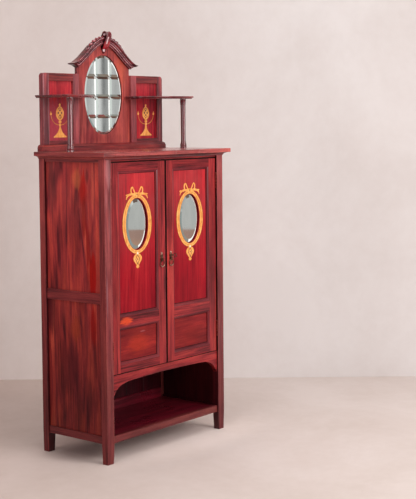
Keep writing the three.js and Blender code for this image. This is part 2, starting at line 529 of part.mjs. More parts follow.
// ---------------------------------------------------------------- display shelves and columns
{
  const plan = (inset) => {
    const cx = 355, rx = 235 - inset, ry = WING_FRONT - SHELF2_FRONT - inset;
    const out = [[WING_OUT + PLAY, WING_FRONT], [WING_OUT + PLAY, SHELF2_BACK], [SHELF2_OUT - inset, SHELF2_BACK]];
    out.push([SHELF2_OUT - inset, SHELF2_FRONT + inset + 6], [SHELF2_OUT - inset - 2, SHELF2_FRONT + inset + 2],
      [SHELF2_OUT - inset - 6, SHELF2_FRONT + inset]);
    const n = 20;
    for (let i = 0; i <= n; i++) {
      const t = (Math.PI / 2) * (i / n);
      out.push([cx - rx * Math.sin(t), i === n ? WING_FRONT : WING_FRONT - ry * Math.cos(t)]);
    }
    return out;
  };
  pair(gallery, 'display_shelf', union(prismXY(plan(6), SHELF2_LOW, 1390), prismXY(plan(0), 1389.5, SHELF2_HIGH)), galleryRed);
  const h = SHELF2_LOW - TOP_Z;
  const column = turned([[0, 0], [14, 0], [14, 6], [12.8, 8], [13.4, 10.5], [13.4, 15], [12.4, 20], [11.2, 25],
    [10.3, 30], [10.2, 60], [10.5, 110], [11, 170], [11, 183], [12.6, 184.5], [12.6, 188], [11.8, 190], [12.8, 192],
    [12.8, h], [0, h]], 16);
  piece(gallery, 'column_right', column, galleryRed, COLUMN_X, COLUMN_Y, TOP_Z);
  piece(gallery, 'column_left', column, galleryRed, -COLUMN_X, COLUMN_Y, TOP_Z);
}

export default chiffonier;
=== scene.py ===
"""Chiffonier: finishes, mouldings, inlay, carving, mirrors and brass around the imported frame.
Metres, +Z up, -Y is the front. Sizes in the code are millimetres."""

import math
import random

import bmesh
import bpy
from mathutils import Matrix, Vector


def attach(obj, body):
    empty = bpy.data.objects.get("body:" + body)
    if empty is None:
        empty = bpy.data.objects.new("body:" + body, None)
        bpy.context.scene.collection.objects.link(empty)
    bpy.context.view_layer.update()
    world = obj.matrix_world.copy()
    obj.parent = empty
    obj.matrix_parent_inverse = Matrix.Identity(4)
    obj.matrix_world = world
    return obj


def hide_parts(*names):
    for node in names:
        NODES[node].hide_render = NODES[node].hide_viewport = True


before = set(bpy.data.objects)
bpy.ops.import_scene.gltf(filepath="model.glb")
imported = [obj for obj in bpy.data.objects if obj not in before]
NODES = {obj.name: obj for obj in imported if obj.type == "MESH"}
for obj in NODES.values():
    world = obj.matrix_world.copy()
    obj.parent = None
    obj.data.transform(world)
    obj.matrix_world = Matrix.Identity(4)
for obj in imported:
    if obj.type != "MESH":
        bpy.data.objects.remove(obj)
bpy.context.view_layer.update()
MM = 0.001

# ------------------------------------------------------------------ sizes, as in the frame
DOOR_FRONT, DOOR_BACK = -154.5, -134.5
PANEL_FACE, PANEL_BACK = -146.0, -142.0
OVAL_X, OVAL_Z, OVAL_RX, OVAL_RZ = 158.5, 898.0, 62.0, 99.0
HANDLE_X, PIVOT_Y, PIVOT_Z, KEY_Z = 27.5, -159.25, 750.0, 762.0
BOARD_FRONT, GALLERY_BACK = 172.5, 185.0
GLASS_Z, GLASS_RX, GLASS_RZ, GLASS_FACE, GLASS_BACK = 1400.0, 110.5, 161.0, 175.0, 180.0
WING_FRONT, WING_PANEL = 161.5, 170.0
TOP_Z = 1177.5
ARCH_TOP = [(0, 1631), (18, 1629), (37, 1623), (55, 1614.5), (73, 1603), (88, 1592), (109, 1574),
            (133, 1554), (157, 1537), (175, 1527.5), (190, 1524)]
ARCH_LOW = [(0, 1605), (31, 1597), (62, 1577), (91, 1554), (120, 1531), (153, 1507), (165, 1514),
            (177, 1517.5), (190, 1519.5)]
BOARD_TOP = [(0, 1617), (31, 1609), (62, 1590), (91, 1567), (120, 1544.5), (152.75, 1520)]


def srgb(text):
    """A colour written as RRGGBB, made linear."""
    out = []
    for i in (0, 2, 4):
        v = int(text[i:i + 2], 16) / 255
        out.append(v / 12.92 if v <= 0.04045 else ((v + 0.055) / 1.055) ** 2.4)
    return (*out, 1.0)


# ------------------------------------------------------------------ materials
class Mat:
    def __init__(self, name):
        self.material = bpy.data.materials.new(name)
        self.material.use_nodes = True
        self.tree = self.material.node_tree
        self.tree.nodes.clear()

    def node(self, kind, props=None, **inputs):
        n = self.tree.nodes.new(kind)
        for k, v in (props or {}).items():
            setattr(n, k, v)
        for k, v in inputs.items():
            self.put(n.inputs[int(k[1:])] if k[0] == "n" and k[1:].isdigit() else n.inputs[k.replace("_", " ")], v)
        return n

    def put(self, socket, v):
        if isinstance(v, bpy.types.NodeSocket):
            self.tree.links.new(v, socket)
        else:
            socket.default_value = v

    def math(self, op, a, b=0.0, c=0.0, clamp=False):
        return self.node("ShaderNodeMath", {"operation": op, "use_clamp": clamp}, n0=a, n1=b, n2=c).outputs[0]

    def vec(self, op, a, b=(0, 0, 0)):
        n = self.node("ShaderNodeVectorMath", {"operation": op}, n0=a)
        if op == "SCALE":
            self.put(n.inputs["Scale"], b)
        else:
            self.put(n.inputs[1], b)
        return n.outputs["Value"] if op in ("LENGTH", "DOT_PRODUCT", "DISTANCE") else n.outputs[0]

    def mix(self, fac, a, b, blend="MIX"):
        n = self.node("ShaderNodeMix", {"data_type": "RGBA", "blend_type": blend, "clamp_factor": True})
        self.put(n.inputs[0], fac)
        self.put(n.inputs[6], a)
        self.put(n.inputs[7], b)
        return n.outputs[2]

    def ramp(self, fac, stops, interpolation="LINEAR"):
        n = self.node("ShaderNodeValToRGB", n0=fac)
        n.color_ramp.interpolation = interpolation
        e = n.color_ramp.elements
        while len(e) < len(stops):
            e.new(0.5)
        for item, (pos, colour) in zip(e, stops):
            item.position = pos
            item.color = colour if hasattr(colour, "__len__") else (colour, colour, colour, 1)
        return n.outputs[0]

    def range(self, v, a, b, c=0.0, d=1.0, smooth=False):
        n = self.node("ShaderNodeMapRange", {"interpolation_type": "SMOOTHSTEP" if smooth else "LINEAR"},
                      n0=v, n1=a, n2=b, n3=c, n4=d)
        return n.outputs[0]

    def noise(self, vector, scale, detail=2.0, rough=0.5, distortion=0.0):
        v = self.vec("MULTIPLY", vector, scale) if hasattr(scale, "__len__") else vector
        n = self.node("ShaderNodeTexNoise", Vector=v, Scale=1.0 if hasattr(scale, "__len__") else scale,
                      Detail=detail, Roughness=rough, Distortion=distortion)
        return n.outputs["Fac"]

    def coords(self, grain="Z"):
        """Object coordinates turned so that the grain runs along the third axis, moved for each board."""
        p = self.node("ShaderNodeTexCoord").outputs["Object"]
        s = self.node("ShaderNodeSeparateXYZ", n0=p)
        order = {"X": (1, 2, 0), "Y": (0, 2, 1), "Z": (0, 1, 2)}[grain]
        q = self.node("ShaderNodeCombineXYZ", n0=s.outputs[order[0]], n1=s.outputs[order[1]],
                      n2=s.outputs[order[2]]).outputs[0]
        board = self.node("ShaderNodeAttribute", {"attribute_name": "board"}).outputs["Fac"]
        return p, s, self.vec("ADD", q, self.vec("SCALE", (3.71, 5.13, 2.37), board))

    def finish(self, **sockets):
        b = self.node("ShaderNodeBsdfPrincipled")
        for k, v in sockets.items():
            self.put(b.inputs[k.replace("_", " ")], v)
        out = self.node("ShaderNodeOutputMaterial")
        self.tree.links.new(b.outputs[0], out.inputs[0])
        return self.material


def wood(name, grain, dark, mid, light, warm, contrast=1.0, streak=58.0, length=2.4, rough=(0.30, 0.46),
         coat=0.12, level=0.22, worn="B4685A", figure=None, patches=(), low=0.62, bend=(0.1, 1.25), mottle=0.25,
         veil=None, coat_rough=0.16):
    """Polished timber: broad colour, streaks, fibre and pores along the grain, rubbed arrises; patches of colour, some
    of them painted highlights and painted shade; darker towards the foot; an optional painted sheen that rises with
    height.
    """
    m = Mat(name)
    p, s, q = m.coords(grain)
    wobble = m.node("ShaderNodeTexNoise", Vector=m.vec("MULTIPLY", q, (5.0, 5.0, 1.6)), Scale=1.0, Detail=2.0)
    q = m.vec("ADD", q, m.vec("SCALE", m.vec("SUBTRACT", wobble.outputs["Color"], (0.5, 0.5, 0.5)), 0.035))
    broad = m.noise(q, (11.0, 11.0, 1.1), 3.0, 0.55, 0.3)
    streaks = m.noise(q, (streak, streak, length), 5.0, 0.62, 0.15)
    thread = m.noise(q, (165.0, 165.0, 4.0), 3.0, 0.6, 0.1)
    fibre = m.noise(q, (430.0, 430.0, 9.0), 3.0, 0.6)
    pores = m.noise(q, (1250.0, 1250.0, 70.0), 1.0, 0.5)
    t = m.math("ADD", m.math("MULTIPLY", broad, 0.30), m.math("MULTIPLY", streaks, 0.28))
    t = m.math("MULTIPLY_ADD", thread, 0.27, t)
    t = m.math("MULTIPLY_ADD", fibre, 0.15, t)
    if figure:
        # wide flame: long warped tongues laid over the streaks
        flame = m.noise(q, (19.0, 19.0, 2.2), 2.0, 0.5, 2.2)
        t = m.math("ADD", m.math("MULTIPLY", t, 1 - figure), m.math("MULTIPLY", flame, figure))
    t = m.math("MULTIPLY_ADD", m.math("SUBTRACT", t, 0.5), contrast, 0.5)
    colour = m.ramp(t, [(0.34, dark), (0.46, mid), (0.56, light), (0.68, warm)])
    for x, y, z, r, tall, tint, strength in patches:
        # one patch of colour, centre in mm, radius across and along: the lists hold figure and stains, and also painted
        # highlights and painted shade
        d = m.vec("MULTIPLY", m.vec("SUBTRACT", p, (x * MM, y * MM, z * MM)),
                  (1 / (r * MM), 1 / (r * MM), 1 / (tall * MM)))
        ragged = m.math("ADD", m.math("SUBTRACT", streaks, 0.5), m.math("SUBTRACT", thread, 0.5))
        d = m.math("ADD", m.vec("LENGTH", d), m.math("MULTIPLY", ragged, 1.5))
        mask = m.range(d, 0.55, 1.15, strength, 0.0, smooth=True)
        colour = m.mix(mask, colour, tint)
    pore = m.range(pores, 0.30, 0.40, 1.0, 0.0)
    colour = m.mix(m.math("MULTIPLY", pore, 0.45), colour, dark)
    edge = m.node("ShaderNodeAttribute", {"attribute_name": "edge"}).outputs["Fac"]
    rub = m.math("MULTIPLY", edge, m.range(m.noise(p, 55.0, 3.0, 0.6), 0.44, 0.60))
    colour = m.mix(m.math("MULTIPLY", rub, 0.55), colour, srgb(worn))
    # darker towards the foot
    lower_darkening = m.range(m.math("ADD", s.outputs[2], m.math("MULTIPLY", m.math("SUBTRACT", broad, 0.5), 0.25)),
                  bend[0], bend[1], low, 1.0)
    cloud = m.range(m.noise(q, (16.0, 16.0, 5.0), 4.0, 0.62), 0.36, 0.64, 1 - mottle, 1 + mottle)
    colour = m.node("ShaderNodeHueSaturation", Hue=0.5, Saturation=1.0, Value=m.math("MULTIPLY", lower_darkening, cloud),
                    Color=colour).outputs[0]
    haze = m.noise(p, 7.0, 4.0, 0.6)
    # painted sheen: a pale tint mixed into the colour, rising with height
    if veil:
        z0, z1, tint, strength = veil
        sheen_mask = m.math("MULTIPLY", m.range(s.outputs[2], z0, z1, 0.0, strength, smooth=True),
                       m.range(haze, 0.38, 0.62, 0.45, 1.0))
        colour = m.mix(sheen_mask, colour, srgb(tint))
    r = m.math("ADD", m.range(haze, 0.35, 0.65, rough[0], rough[1]), m.math("MULTIPLY", pore, 0.15))
    height = m.math("SUBTRACT", m.math("MULTIPLY", fibre, 0.35), m.math("MULTIPLY", pore, 0.65))
    bump = m.node("ShaderNodeBump", Strength=0.16, Distance=0.0004, Height=height).outputs[0]
    return m.finish(Base_Color=colour, Roughness=r, Normal=bump, Coat_Weight=coat, Coat_Roughness=coat_rough,
                    Specular_IOR_Level=level)


def grains(name, axes="XYZ", **kw):
    return {a: wood(f"{name}_{a.lower()}", a, **kw) for a in axes}


# frame: a painted sheen towards the top; the pale pink patches on the front-left post are a painted sheen and the long
# dark patch on the right post is painted shade
frame_wood = grains("mahogany_frame", dark=srgb("4C181C"), mid=srgb("863338"), light=srgb("A44647"),
                    warm=srgb("B6554E"), contrast=1.9, low=0.40, mottle=0.18, coat=0.06, level=0.16,
                    veil=(0.45, 1.15, "B07A78", 0.14),
                    patches=[(-337, -165, 1100, 14, 60, srgb("B87E82"), 0.38), (-345, -165, 1010, 8, 60, srgb("B87A7E"), 0.3),
                             (337, -165, 800, 24, 420, srgb("7C2628"), 0.5),
                             (-330, -165, 900, 7, 70, srgb("B8686A"), 0.4), (-346, -165, 640, 5, 90, srgb("B88088"), 0.4),
                             (-334, -165, 700, 9, 60, srgb("6E2024"), 0.5)])
# side frames: a faint painted sheen towards the top
side_frame_wood = grains("side_frame", "YZ", dark=srgb("48181D"), mid=srgb("7A2A2E"), light=srgb("933738"),
                         warm=srgb("A2423E"), contrast=1.8, low=0.44, mottle=0.18, coat=0.06, level=0.16, veil=(0.6, 1.2, "A87874", 0.08))
door_wood = grains("mahogany_door", "XZ", dark=srgb("440C12"), mid=srgb("761C22"), light=srgb("92262A"),
                   warm=srgb("A83632"), contrast=2.1, low=0.84, mottle=0.24, coat=0.04, level=0.14,
                   patches=[(-236, -150, 531, 34, 15, srgb("E44A20"), 0.92), (295, -154, 760, 26, 430, srgb("6E161A"), 0.55),
                            (26, -154, 900, 16, 230, srgb("701A1E"), 0.6), (-293, -154, 800, 22, 420, srgb("6A181C"), 0.35),
                            (14, -154, 620, 7, 200, srgb("C43A2E"), 0.5), (-60, -154, 1010, 5, 90, srgb("B8402E"), 0.35)])
moulding_wood = grains("mahogany_moulding", "XZ", dark=srgb("3A1016"), mid=srgb("5E1A22"), light=srgb("742228"),
                       warm=srgb("862C2C"), contrast=1.4, low=0.9, coat=0.0, level=0.12, worn="8A4A52",
                       rough=(0.46, 0.58))
# door panels: a painted sheen towards the top
crimson = grains("crimson_panel", "Z", dark=srgb("7A0A1C"), mid=srgb("9E0E20"), light=srgb("B01624"),
                 warm=srgb("C0282E"), contrast=1.4, streak=85.0, length=1.7, worn="A8242C", rough=(0.30, 0.44),
                 low=0.68, bend=(0.5, 1.12), coat=0.0, level=0.07, mottle=0.12, veil=(0.68, 1.06, "D07470", 0.17))
# wing panels: darker below the display shelf, painted shade under it; a painted sheen near the top; the big pale pink
# patch on the left panel is a painted sheen
wing_crimson = grains("crimson_wing", "Z", dark=srgb("6A0E1A"), mid=srgb("A21C2C"), light=srgb("BA2A34"),
                      warm=srgb("CC3E3C"), contrast=1.7, streak=110.0, length=3.0, worn="A82C2E",
                      rough=(0.26, 0.40), low=0.84, bend=(1.34, 1.44), coat=0.0, level=0.10,
                      veil=(1.38, 1.50, "D08480", 0.14),
                      patches=[(-252, 170, 1285, 120, 122, srgb("A63E4A"), 0.92),
                               (250, 170, 1290, 34, 90, srgb("8E3442"), 0.3)])
low_panel = grains("lower_panel", "X", dark=srgb("5A1016"), mid=srgb("7A181C"), light=srgb("8E2220"),
                   warm=srgb("A02C22"), contrast=1.4, streak=40.0, length=7.0, figure=0.25, low=0.86, coat=0.0,
                   level=0.10, mottle=0.22, patches=[(-212, -146, 470, 30, 26, srgb("7E1C20"), 0.5), (-160, -146, 440, 70, 42, srgb("B0301C"), 0.6),
                                                     (160, -146, 420, 60, 40, srgb("861A18"), 0.5),
                                                     (-134, -146, 480, 20, 4.5, srgb("A8686C"), 0.6)])
# side panels: a faint painted sheen towards the top
side_wood = grains("side_panel", "Z", dark=srgb("5C1C24"), mid=srgb("943032"), light=srgb("B03C36"),
                   warm=srgb("C85040"), contrast=1.55, streak=40.0, length=1.0, figure=0.40, low=0.34,
                   bend=(0.15, 1.0), coat=0.0, level=0.10, mottle=0.24, veil=(0.7, 1.2, "B88880", 0.06),
                   patches=[(-343, -39, 1035, 21, 72, srgb("A80C06"), 0.9), (-343, -44, 930, 14, 80, srgb("7E1010"), 0.7),
                            (-343, -62, 830, 12, 90, srgb("861010"), 0.7), (-343, -84, 715, 24, 80, srgb("AC0C06"), 0.92),
                            (-343, -82, 520, 20, 85, srgb("9C0E08"), 0.8),
                            (-343, -8, 1076, 26, 40, srgb("C4603C"), 0.55), (-343, 10, 500, 26, 60, srgb("BC4828"), 0.5),
                            (-343, -90, 1040, 9, 120, srgb("C05444"), 0.5), (-343, 60, 640, 30, 120, srgb("A43C34"), 0.4),
                            (-343, 128, 1040, 20, 100, srgb("6C2A2C"), 0.6), (-343, 135, 560, 22, 130, srgb("521A20"), 0.7),
                            (-343, 20, 900, 30, 90, srgb("78262C"), 0.45), (-343, -62, 1085, 10, 30, srgb("5C1A20"), 0.6),
                            (-343, 40, 350, 70, 120, srgb("5A1620"), 0.6), (-343, -40, 240, 80, 90, srgb("6C2028"), 0.5)])
board_wood = grains("gallery_board", "Z", dark=srgb("642428"), mid=srgb("9A403E"), light=srgb("AC4A44"),
                    warm=srgb("BA5446"), contrast=2.0, streak=80.0, low=0.92, bend=(1.2, 1.5), mottle=0.24, coat=0.05,
                    level=0.16, patches=[(100, 172, 1500, 34, 60, srgb("C0543A"), 0.5), (-138, 172, 1380, 26, 170, srgb("74282C"), 0.55),
                                         (-70, 172, 1232, 60, 30, srgb("8E2E34"), 0.6), (-120, 172, 1500, 22, 40, srgb("8C3430"), 0.5),
                                         (140, 172, 1330, 22, 150, srgb("8A3430"), 0.5), (40, 172, 1222, 90, 16, srgb("7C2A2E"), 0.2)])
gallery_wood = grains("gallery_frame", "XZ", dark=srgb("360C12"), mid=srgb("621A20"), light=srgb("7C2628"),
                      warm=srgb("943630"), contrast=2.0, low=1.0, coat=0.25, level=0.25, mottle=0.25)
# wing frames: a painted sheen near the top; the thin pale lines on the left wing's stile edges are painted highlights
# and the thin dark lines on the right wing's stile edges are painted shade
wing_wood = grains("gallery_wing", "XZ", dark=srgb("3E1016"), mid=srgb("7A282E"), light=srgb("983C40"),
                   warm=srgb("B05250"), contrast=2.2, low=1.0, coat=0.1, level=0.2, mottle=0.25,
                   veil=(1.1, 1.3, "B08088", 0.16),
                   patches=[(-346, 161, 1400, 4, 160, srgb("B8888E"), 0.5), (-320, 161, 1330, 3.5, 160, srgb("B07C84"), 0.45),
                            (-336, 161, 1300, 5, 150, srgb("6A2A34"), 0.5), (-185, 161, 1300, 20, 130, srgb("74262C"), 0.6),
                            (180, 161, 1330, 4, 140, srgb("5A141C"), 0.5),
                            (346, 161, 1300, 5, 160, srgb("4A0E16"), 0.6), (322, 161, 1330, 3, 160, srgb("4A0E16"), 0.5)])
turned_wood = grains("turned_column", "Z", dark=srgb("3A0610"), mid=srgb("5E0E1A"), light=srgb("761824"),
                     warm=srgb("8A2228"), contrast=1.2, rough=(0.10, 0.14), coat=1.0, level=0.5, low=1.0, mottle=0.1,
                     coat_rough=0.05)
top_wood = grains("top_board", "X", dark=srgb("5A1E20"), mid=srgb("A0403E"), light=srgb("B8504A"),
                  warm=srgb("C45C4A"), contrast=1.6, rough=(0.22, 0.32), coat=0.4, level=0.4, low=1.0, mottle=0.18)
cornice_wood = grains("cornice", "X", dark=srgb("2E080E"), mid=srgb("56101A"), light=srgb("741C22"),
                      warm=srgb("8C2E2A"), contrast=1.8, rough=(0.16, 0.24), coat=0.8, level=0.3, low=1.0, mottle=0.25,
                      coat_rough=0.08)
carved_wood = grains("carved", "XZ", dark=srgb("2A060C"), mid=srgb("5A0E1A"), light=srgb("7C1824"),
                     warm=srgb("9A2A30"), contrast=1.3, rough=(0.12, 0.18), coat=0.9, level=0.3, low=1.0, mottle=0.15,
                     coat_rough=0.07)
# a brighter copy of the carving's red, painted light on the bracket's lower front faces
carved_lit_red = grains("carved_lit_red", "Z", dark=srgb("5A0A16"), mid=srgb("8A1422"), light=srgb("A81E2A"),
                    warm=srgb("BC3034"), contrast=1.3, rough=(0.12, 0.18), coat=0.8, level=0.3, low=1.0, mottle=0.15,
                    coat_rough=0.07)
# painted glint: near-white wood for the bracket's eye, its middle reed and a spot on the pendant leaf
glint_paint_wood = grains("painted_glint", "X", dark=srgb("A87078"), mid=srgb("D0A4AA"), light=srgb("E8CCCE"),
                    warm=srgb("F4E2E2"), contrast=1.5, rough=(0.16, 0.22), coat=0.8, level=0.4, low=1.0, mottle=0.1,
                    coat_rough=0.06)
# painted highlight: pale pink bands on the cornice and on the crests and beads of the leaf sprays
highlight_paint_wood = grains("painted_highlight_band", "X", dark=srgb("7E4048"), mid=srgb("A8707A"), light=srgb("C49298"),
                     warm=srgb("D8B0B2"), contrast=1.5, rough=(0.16, 0.22), coat=0.8, level=0.4, low=1.0, mottle=0.2,
                     coat_rough=0.08)
# painted highlight for the outer faces of the door-panel mouldings, with a stronger painted sheen near the top
lit_moulding_wood = grains("moulding_lit_paint", "XZ", dark=srgb("42181E"), mid=srgb("622228"), light=srgb("782C32"),
                    warm=srgb("86383C"), contrast=1.5, rough=(0.40, 0.5), coat=0.0, level=0.15, low=0.9, mottle=0.2,
                    veil=(0.86, 1.12, "C8A0A6", 0.34))
plain_wood = grains("plain_board", "XZ", dark=srgb("200A0B"), mid=srgb("381214"), light=srgb("4A1A1A"),
                    warm=srgb("5A221E"), contrast=1.2, rough=(0.55, 0.75), coat=0.0, worn="5A3028", low=0.7)
dark_wood = grains("shaded_board", "XZ", dark=srgb("36060F"), mid=srgb("600E1E"), light=srgb("781626"),
                   warm=srgb("8A202A"), contrast=1.4, rough=(0.24, 0.38), coat=0.25, level=0.35, low=0.9, mottle=0.15,
                   worn="5A1A24")
shade_wood = grains("compartment_back", "Z", dark=srgb("240409"), mid=srgb("3C0812"), light=srgb("4E0E1A"),
                    warm=srgb("5A141E"), contrast=1.4, rough=(0.3, 0.45), coat=0.1, level=0.25, low=0.9, mottle=0.15,
                    worn="2A060C")
# near-black for dark joints and gaps, and also painted shade on inner faces, undersides and carved hollows
joint_shade_wood = grains("joints_and_shade", "Z", dark=srgb("0A0203"), mid=srgb("140405"), light=srgb("1E0608"),
                    warm=srgb("280A0A"), contrast=1.0, rough=(0.5, 0.7), coat=0.0, level=0.1, worn="3A1214", low=1.0)
# painted shade: near-black crimson for recesses, inner faces, grooves, quirks and the cornice's shaded ends
shade_paint_wood = grains("painted_shade_line", "XZ", dark=srgb("24080C"), mid=srgb("3A0C12"), light=srgb("4A1218"),
                   warm=srgb("581A1C"), contrast=1.2, rough=(0.3, 0.45), coat=0.2, level=0.3, worn="6A2A2C", low=1.0)


def satinwood():
    m = Mat("satinwood")
    p, s, q = m.coords("Z")
    fine = m.noise(q, (260.0, 260.0, 30.0), 3.0, 0.6)
    broad = m.noise(p, 60.0, 2.0)
    t = m.math("ADD", m.math("MULTIPLY", fine, 0.55), m.math("MULTIPLY", broad, 0.45))
    colour = m.ramp(t, [(0.34, srgb("CC7A34")), (0.48, srgb("E89C48")), (0.62, srgb("FABA68"))])
    edge = m.node("ShaderNodeAttribute", {"attribute_name": "edge"}).outputs["Fac"]
    colour = m.mix(m.math("MULTIPLY", edge, 0.75), colour, srgb("A04C18"))
    bump = m.node("ShaderNodeBump", Strength=0.12, Distance=0.0002, Height=fine).outputs[0]
    return m.finish(Base_Color=colour, Roughness=m.range(fine, 0.3, 0.7, 0.34, 0.46), Normal=bump,
                    Coat_Weight=0.1, Coat_Roughness=0.18, Specular_IOR_Level=0.25)


def stringing():
    m = Mat("dark_stringing")
    p, s, q = m.coords("Z")
    n = m.noise(q, (300.0, 300.0, 40.0), 2.0)
    colour = m.ramp(n, [(0.35, srgb("30100E")), (0.65, srgb("6A1E16"))])
    bump = m.node("ShaderNodeBump", Strength=0.1, Distance=0.0002, Height=n).outputs[0]
    return m.finish(Base_Color=colour, Roughness=m.range(n, 0.3, 0.7, 0.36, 0.5), Normal=bump, Coat_Weight=0.25,
                    Coat_Roughness=0.2)


def mirror():
    """Silvered plate, a little clouded, with faint tarnish spots."""
    m = Mat("silvered_glass")
    p = m.node("ShaderNodeTexCoord").outputs["Object"]
    cloud = m.noise(p, (14.0, 14.0, 5.0), 3.0, 0.6)
    spots = m.range(m.noise(p, 190.0, 3.0, 0.7), 0.66, 0.74)
    colour = m.ramp(cloud, [(0.3, srgb("D3D6D3")), (0.7, srgb("E0E2DF"))])
    colour = m.mix(m.math("MULTIPLY", spots, 0.35), colour, srgb("5A5650"))
    rough = m.math("ADD", m.range(cloud, 0.3, 0.7, 0.015, 0.045), m.math("MULTIPLY", spots, 0.25))
    bump = m.node("ShaderNodeBump", Strength=0.02, Distance=0.0002, Height=cloud).outputs[0]
    return m.finish(Base_Color=colour, Metallic=1.0, Roughness=rough, Normal=bump)


def metal(name, deep, base, bright, rough=(0.28, 0.5), worn="C8A878"):
    m = Mat(name)
    p = m.node("ShaderNodeTexCoord").outputs["Object"]
    tarnish = m.noise(p, 210.0, 4.0, 0.65)
    broad = m.noise(p, 45.0, 2.0)
    t = m.math("ADD", m.math("MULTIPLY", tarnish, 0.6), m.math("MULTIPLY", broad, 0.4))
    colour = m.ramp(t, [(0.36, srgb(deep)), (0.5, srgb(base)), (0.64, srgb(bright))])
    edge = m.node("ShaderNodeAttribute", {"attribute_name": "edge"}).outputs["Fac"]
    colour = m.mix(m.math("MULTIPLY", edge, 0.6), colour, srgb(worn))
    scratch = m.noise(p, (900.0, 900.0, 140.0), 2.0)
    bump = m.node("ShaderNodeBump", Strength=0.15, Distance=0.0002,
                  Height=m.math("ADD", tarnish, m.math("MULTIPLY", scratch, 0.4))).outputs[0]
    return m.finish(Base_Color=colour, Metallic=1.0, Roughness=m.range(t, 0.35, 0.65, rough[1], rough[0]), Normal=bump)


def backing_paint():
    """Dull brown paint on the backs of the plates."""
    m = Mat("mirror_backing")
    p = m.node("ShaderNodeTexCoord").outputs["Object"]
    n = m.noise(p, (60.0, 60.0, 14.0), 4.0, 0.6)
    colour = m.ramp(n, [(0.35, srgb("3C2A26")), (0.65, srgb("5E463C"))])
    bump = m.node("ShaderNodeBump", Strength=0.2, Distance=0.0003, Height=n).outputs[0]
    return m.finish(Base_Color=colour, Roughness=m.range(n, 0.3, 0.7, 0.55, 0.78), Normal=bump)


gold_inlay, dark_line, silvered, plate_back = satinwood(), stringing(), mirror(), backing_paint()
brass = metal("antique_brass", "2E1A12", "604032", "8C6450", worn="C09A80")
bright_brass = metal("rubbed_brass", "5A4034", "A07E6C", "D0B0A0", worn="F0D8C8")
hinge_brass = metal("dull_brass", "4A1C18", "7A3430", "964A40", worn="A86A58")
steel = metal("old_steel", "2C2622", "5E564C", "8C857A", worn="B8B0A4")


# ------------------------------------------------------------------ mesh building
def V(x, y, z):
    return Vector((x * MM, y * MM, z * MM))


def new_mesh():
    bm = bmesh.new()
    bm.faces.layers.float.new("edge")
    bm.faces.layers.float.new("board")
    return bm


def cad_copy(node):
    """The CAD node's faces with coplanar triangles merged."""
    bm = new_mesh()
    bm.from_mesh(NODES[node].data)
    bmesh.ops.remove_doubles(bm, verts=bm.verts, dist=2e-6)
    bmesh.ops.dissolve_limit(bm, angle_limit=math.radians(0.5), use_dissolve_boundaries=False, verts=bm.verts,
                             edges=bm.edges, delimit=set())
    return bm


def cut(bm, axis, value):
    """Splits faces along a plane, for joint lines and for the borders of painted light and shade."""
    co, no = [0, 0, 0], [0, 0, 0]
    co["XYZ".index(axis)], no["XYZ".index(axis)] = value * MM, 1
    bmesh.ops.bisect_plane(bm, geom=bm.verts[:] + bm.edges[:] + bm.faces[:], dist=1e-6, plane_co=co, plane_no=no)


def soften(bm, width=0.8, angle=32.0, segments=2, keep=None):
    """Rounds the convex arrises and marks the rounded faces."""
    least = math.radians(angle)
    edges = [e for e in bm.edges if len(e.link_faces) == 2 and e.is_convex and e.calc_face_angle(0) > least
             and e.calc_length() > 2.5 * width * MM and (keep is None or keep(e))]
    if not edges:
        return bm
    made = bmesh.ops.bevel(bm, geom=edges, offset=width * MM, offset_type="OFFSET", segments=segments, profile=0.5,
                           affect="EDGES", clamp_overlap=True, loop_slide=True)
    layer = bm.faces.layers.float.get("edge") or bm.faces.layers.float.new("edge")
    for f in made["faces"]:
        f[layer] = 1.0
    return bm


def piece(name, bm, body, materials, rule=None, replaces=(), smooth=32.0, weighted=True):
    """Makes the object; rule(centre mm, normal) gives (material number, board number)."""
    bmesh.ops.recalc_face_normals(bm, faces=bm.faces)
    board = bm.faces.layers.float.get("board") or bm.faces.layers.float.new("board")
    for f in bm.faces:
        f.smooth = True
        if rule:
            f.material_index, f[board] = rule(f.calc_center_median() / MM, f.normal)
    mesh = bpy.data.meshes.new(name)
    bm.to_mesh(mesh)
    bm.free()
    for m in materials:
        mesh.materials.append(m)
    mesh.set_sharp_from_angle(angle=math.radians(smooth))
    obj = bpy.data.objects.new(name, mesh)
    bpy.context.scene.collection.objects.link(obj)
    if weighted:
        w = obj.modifiers.new("weighted_normals", "WEIGHTED_NORMAL")
        w.keep_sharp = True
        w.weight = 80
    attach(obj, body)
    if replaces:
        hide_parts(*([replaces] if isinstance(replaces, str) else replaces))
    return obj


def loft(bm, rings, closed=True, caps=True, paint=None):
    rows = [[bm.verts.new(V(*p)) for p in ring] for ring in rings]
    n = len(rows[0])
    for a, b in zip(rows, rows[1:]):
        for i in range(n if closed else n - 1):
            j = (i + 1) % n
            f = bm.faces.new((a[i], a[j], b[j], b[i]))
            if paint:
                f.material_index = paint(i)
    if caps:
        bm.faces.new(rows[0][::-1])
        bm.faces.new(rows[-1])
    return rows


def ring_loft(bm, rings):
    """Rings joined into a closed tube: the last joins the first."""
    rows = [[bm.verts.new(V(*p)) for p in ring] for ring in rings]
    n, k = len(rows[0]), len(rows)
    for r in range(k):
        a, b = rows[r], rows[(r + 1) % k]
        for i in range(n):
            j = (i + 1) % n
            bm.faces.new((a[i], a[j], b[j], b[i]))
    return rows


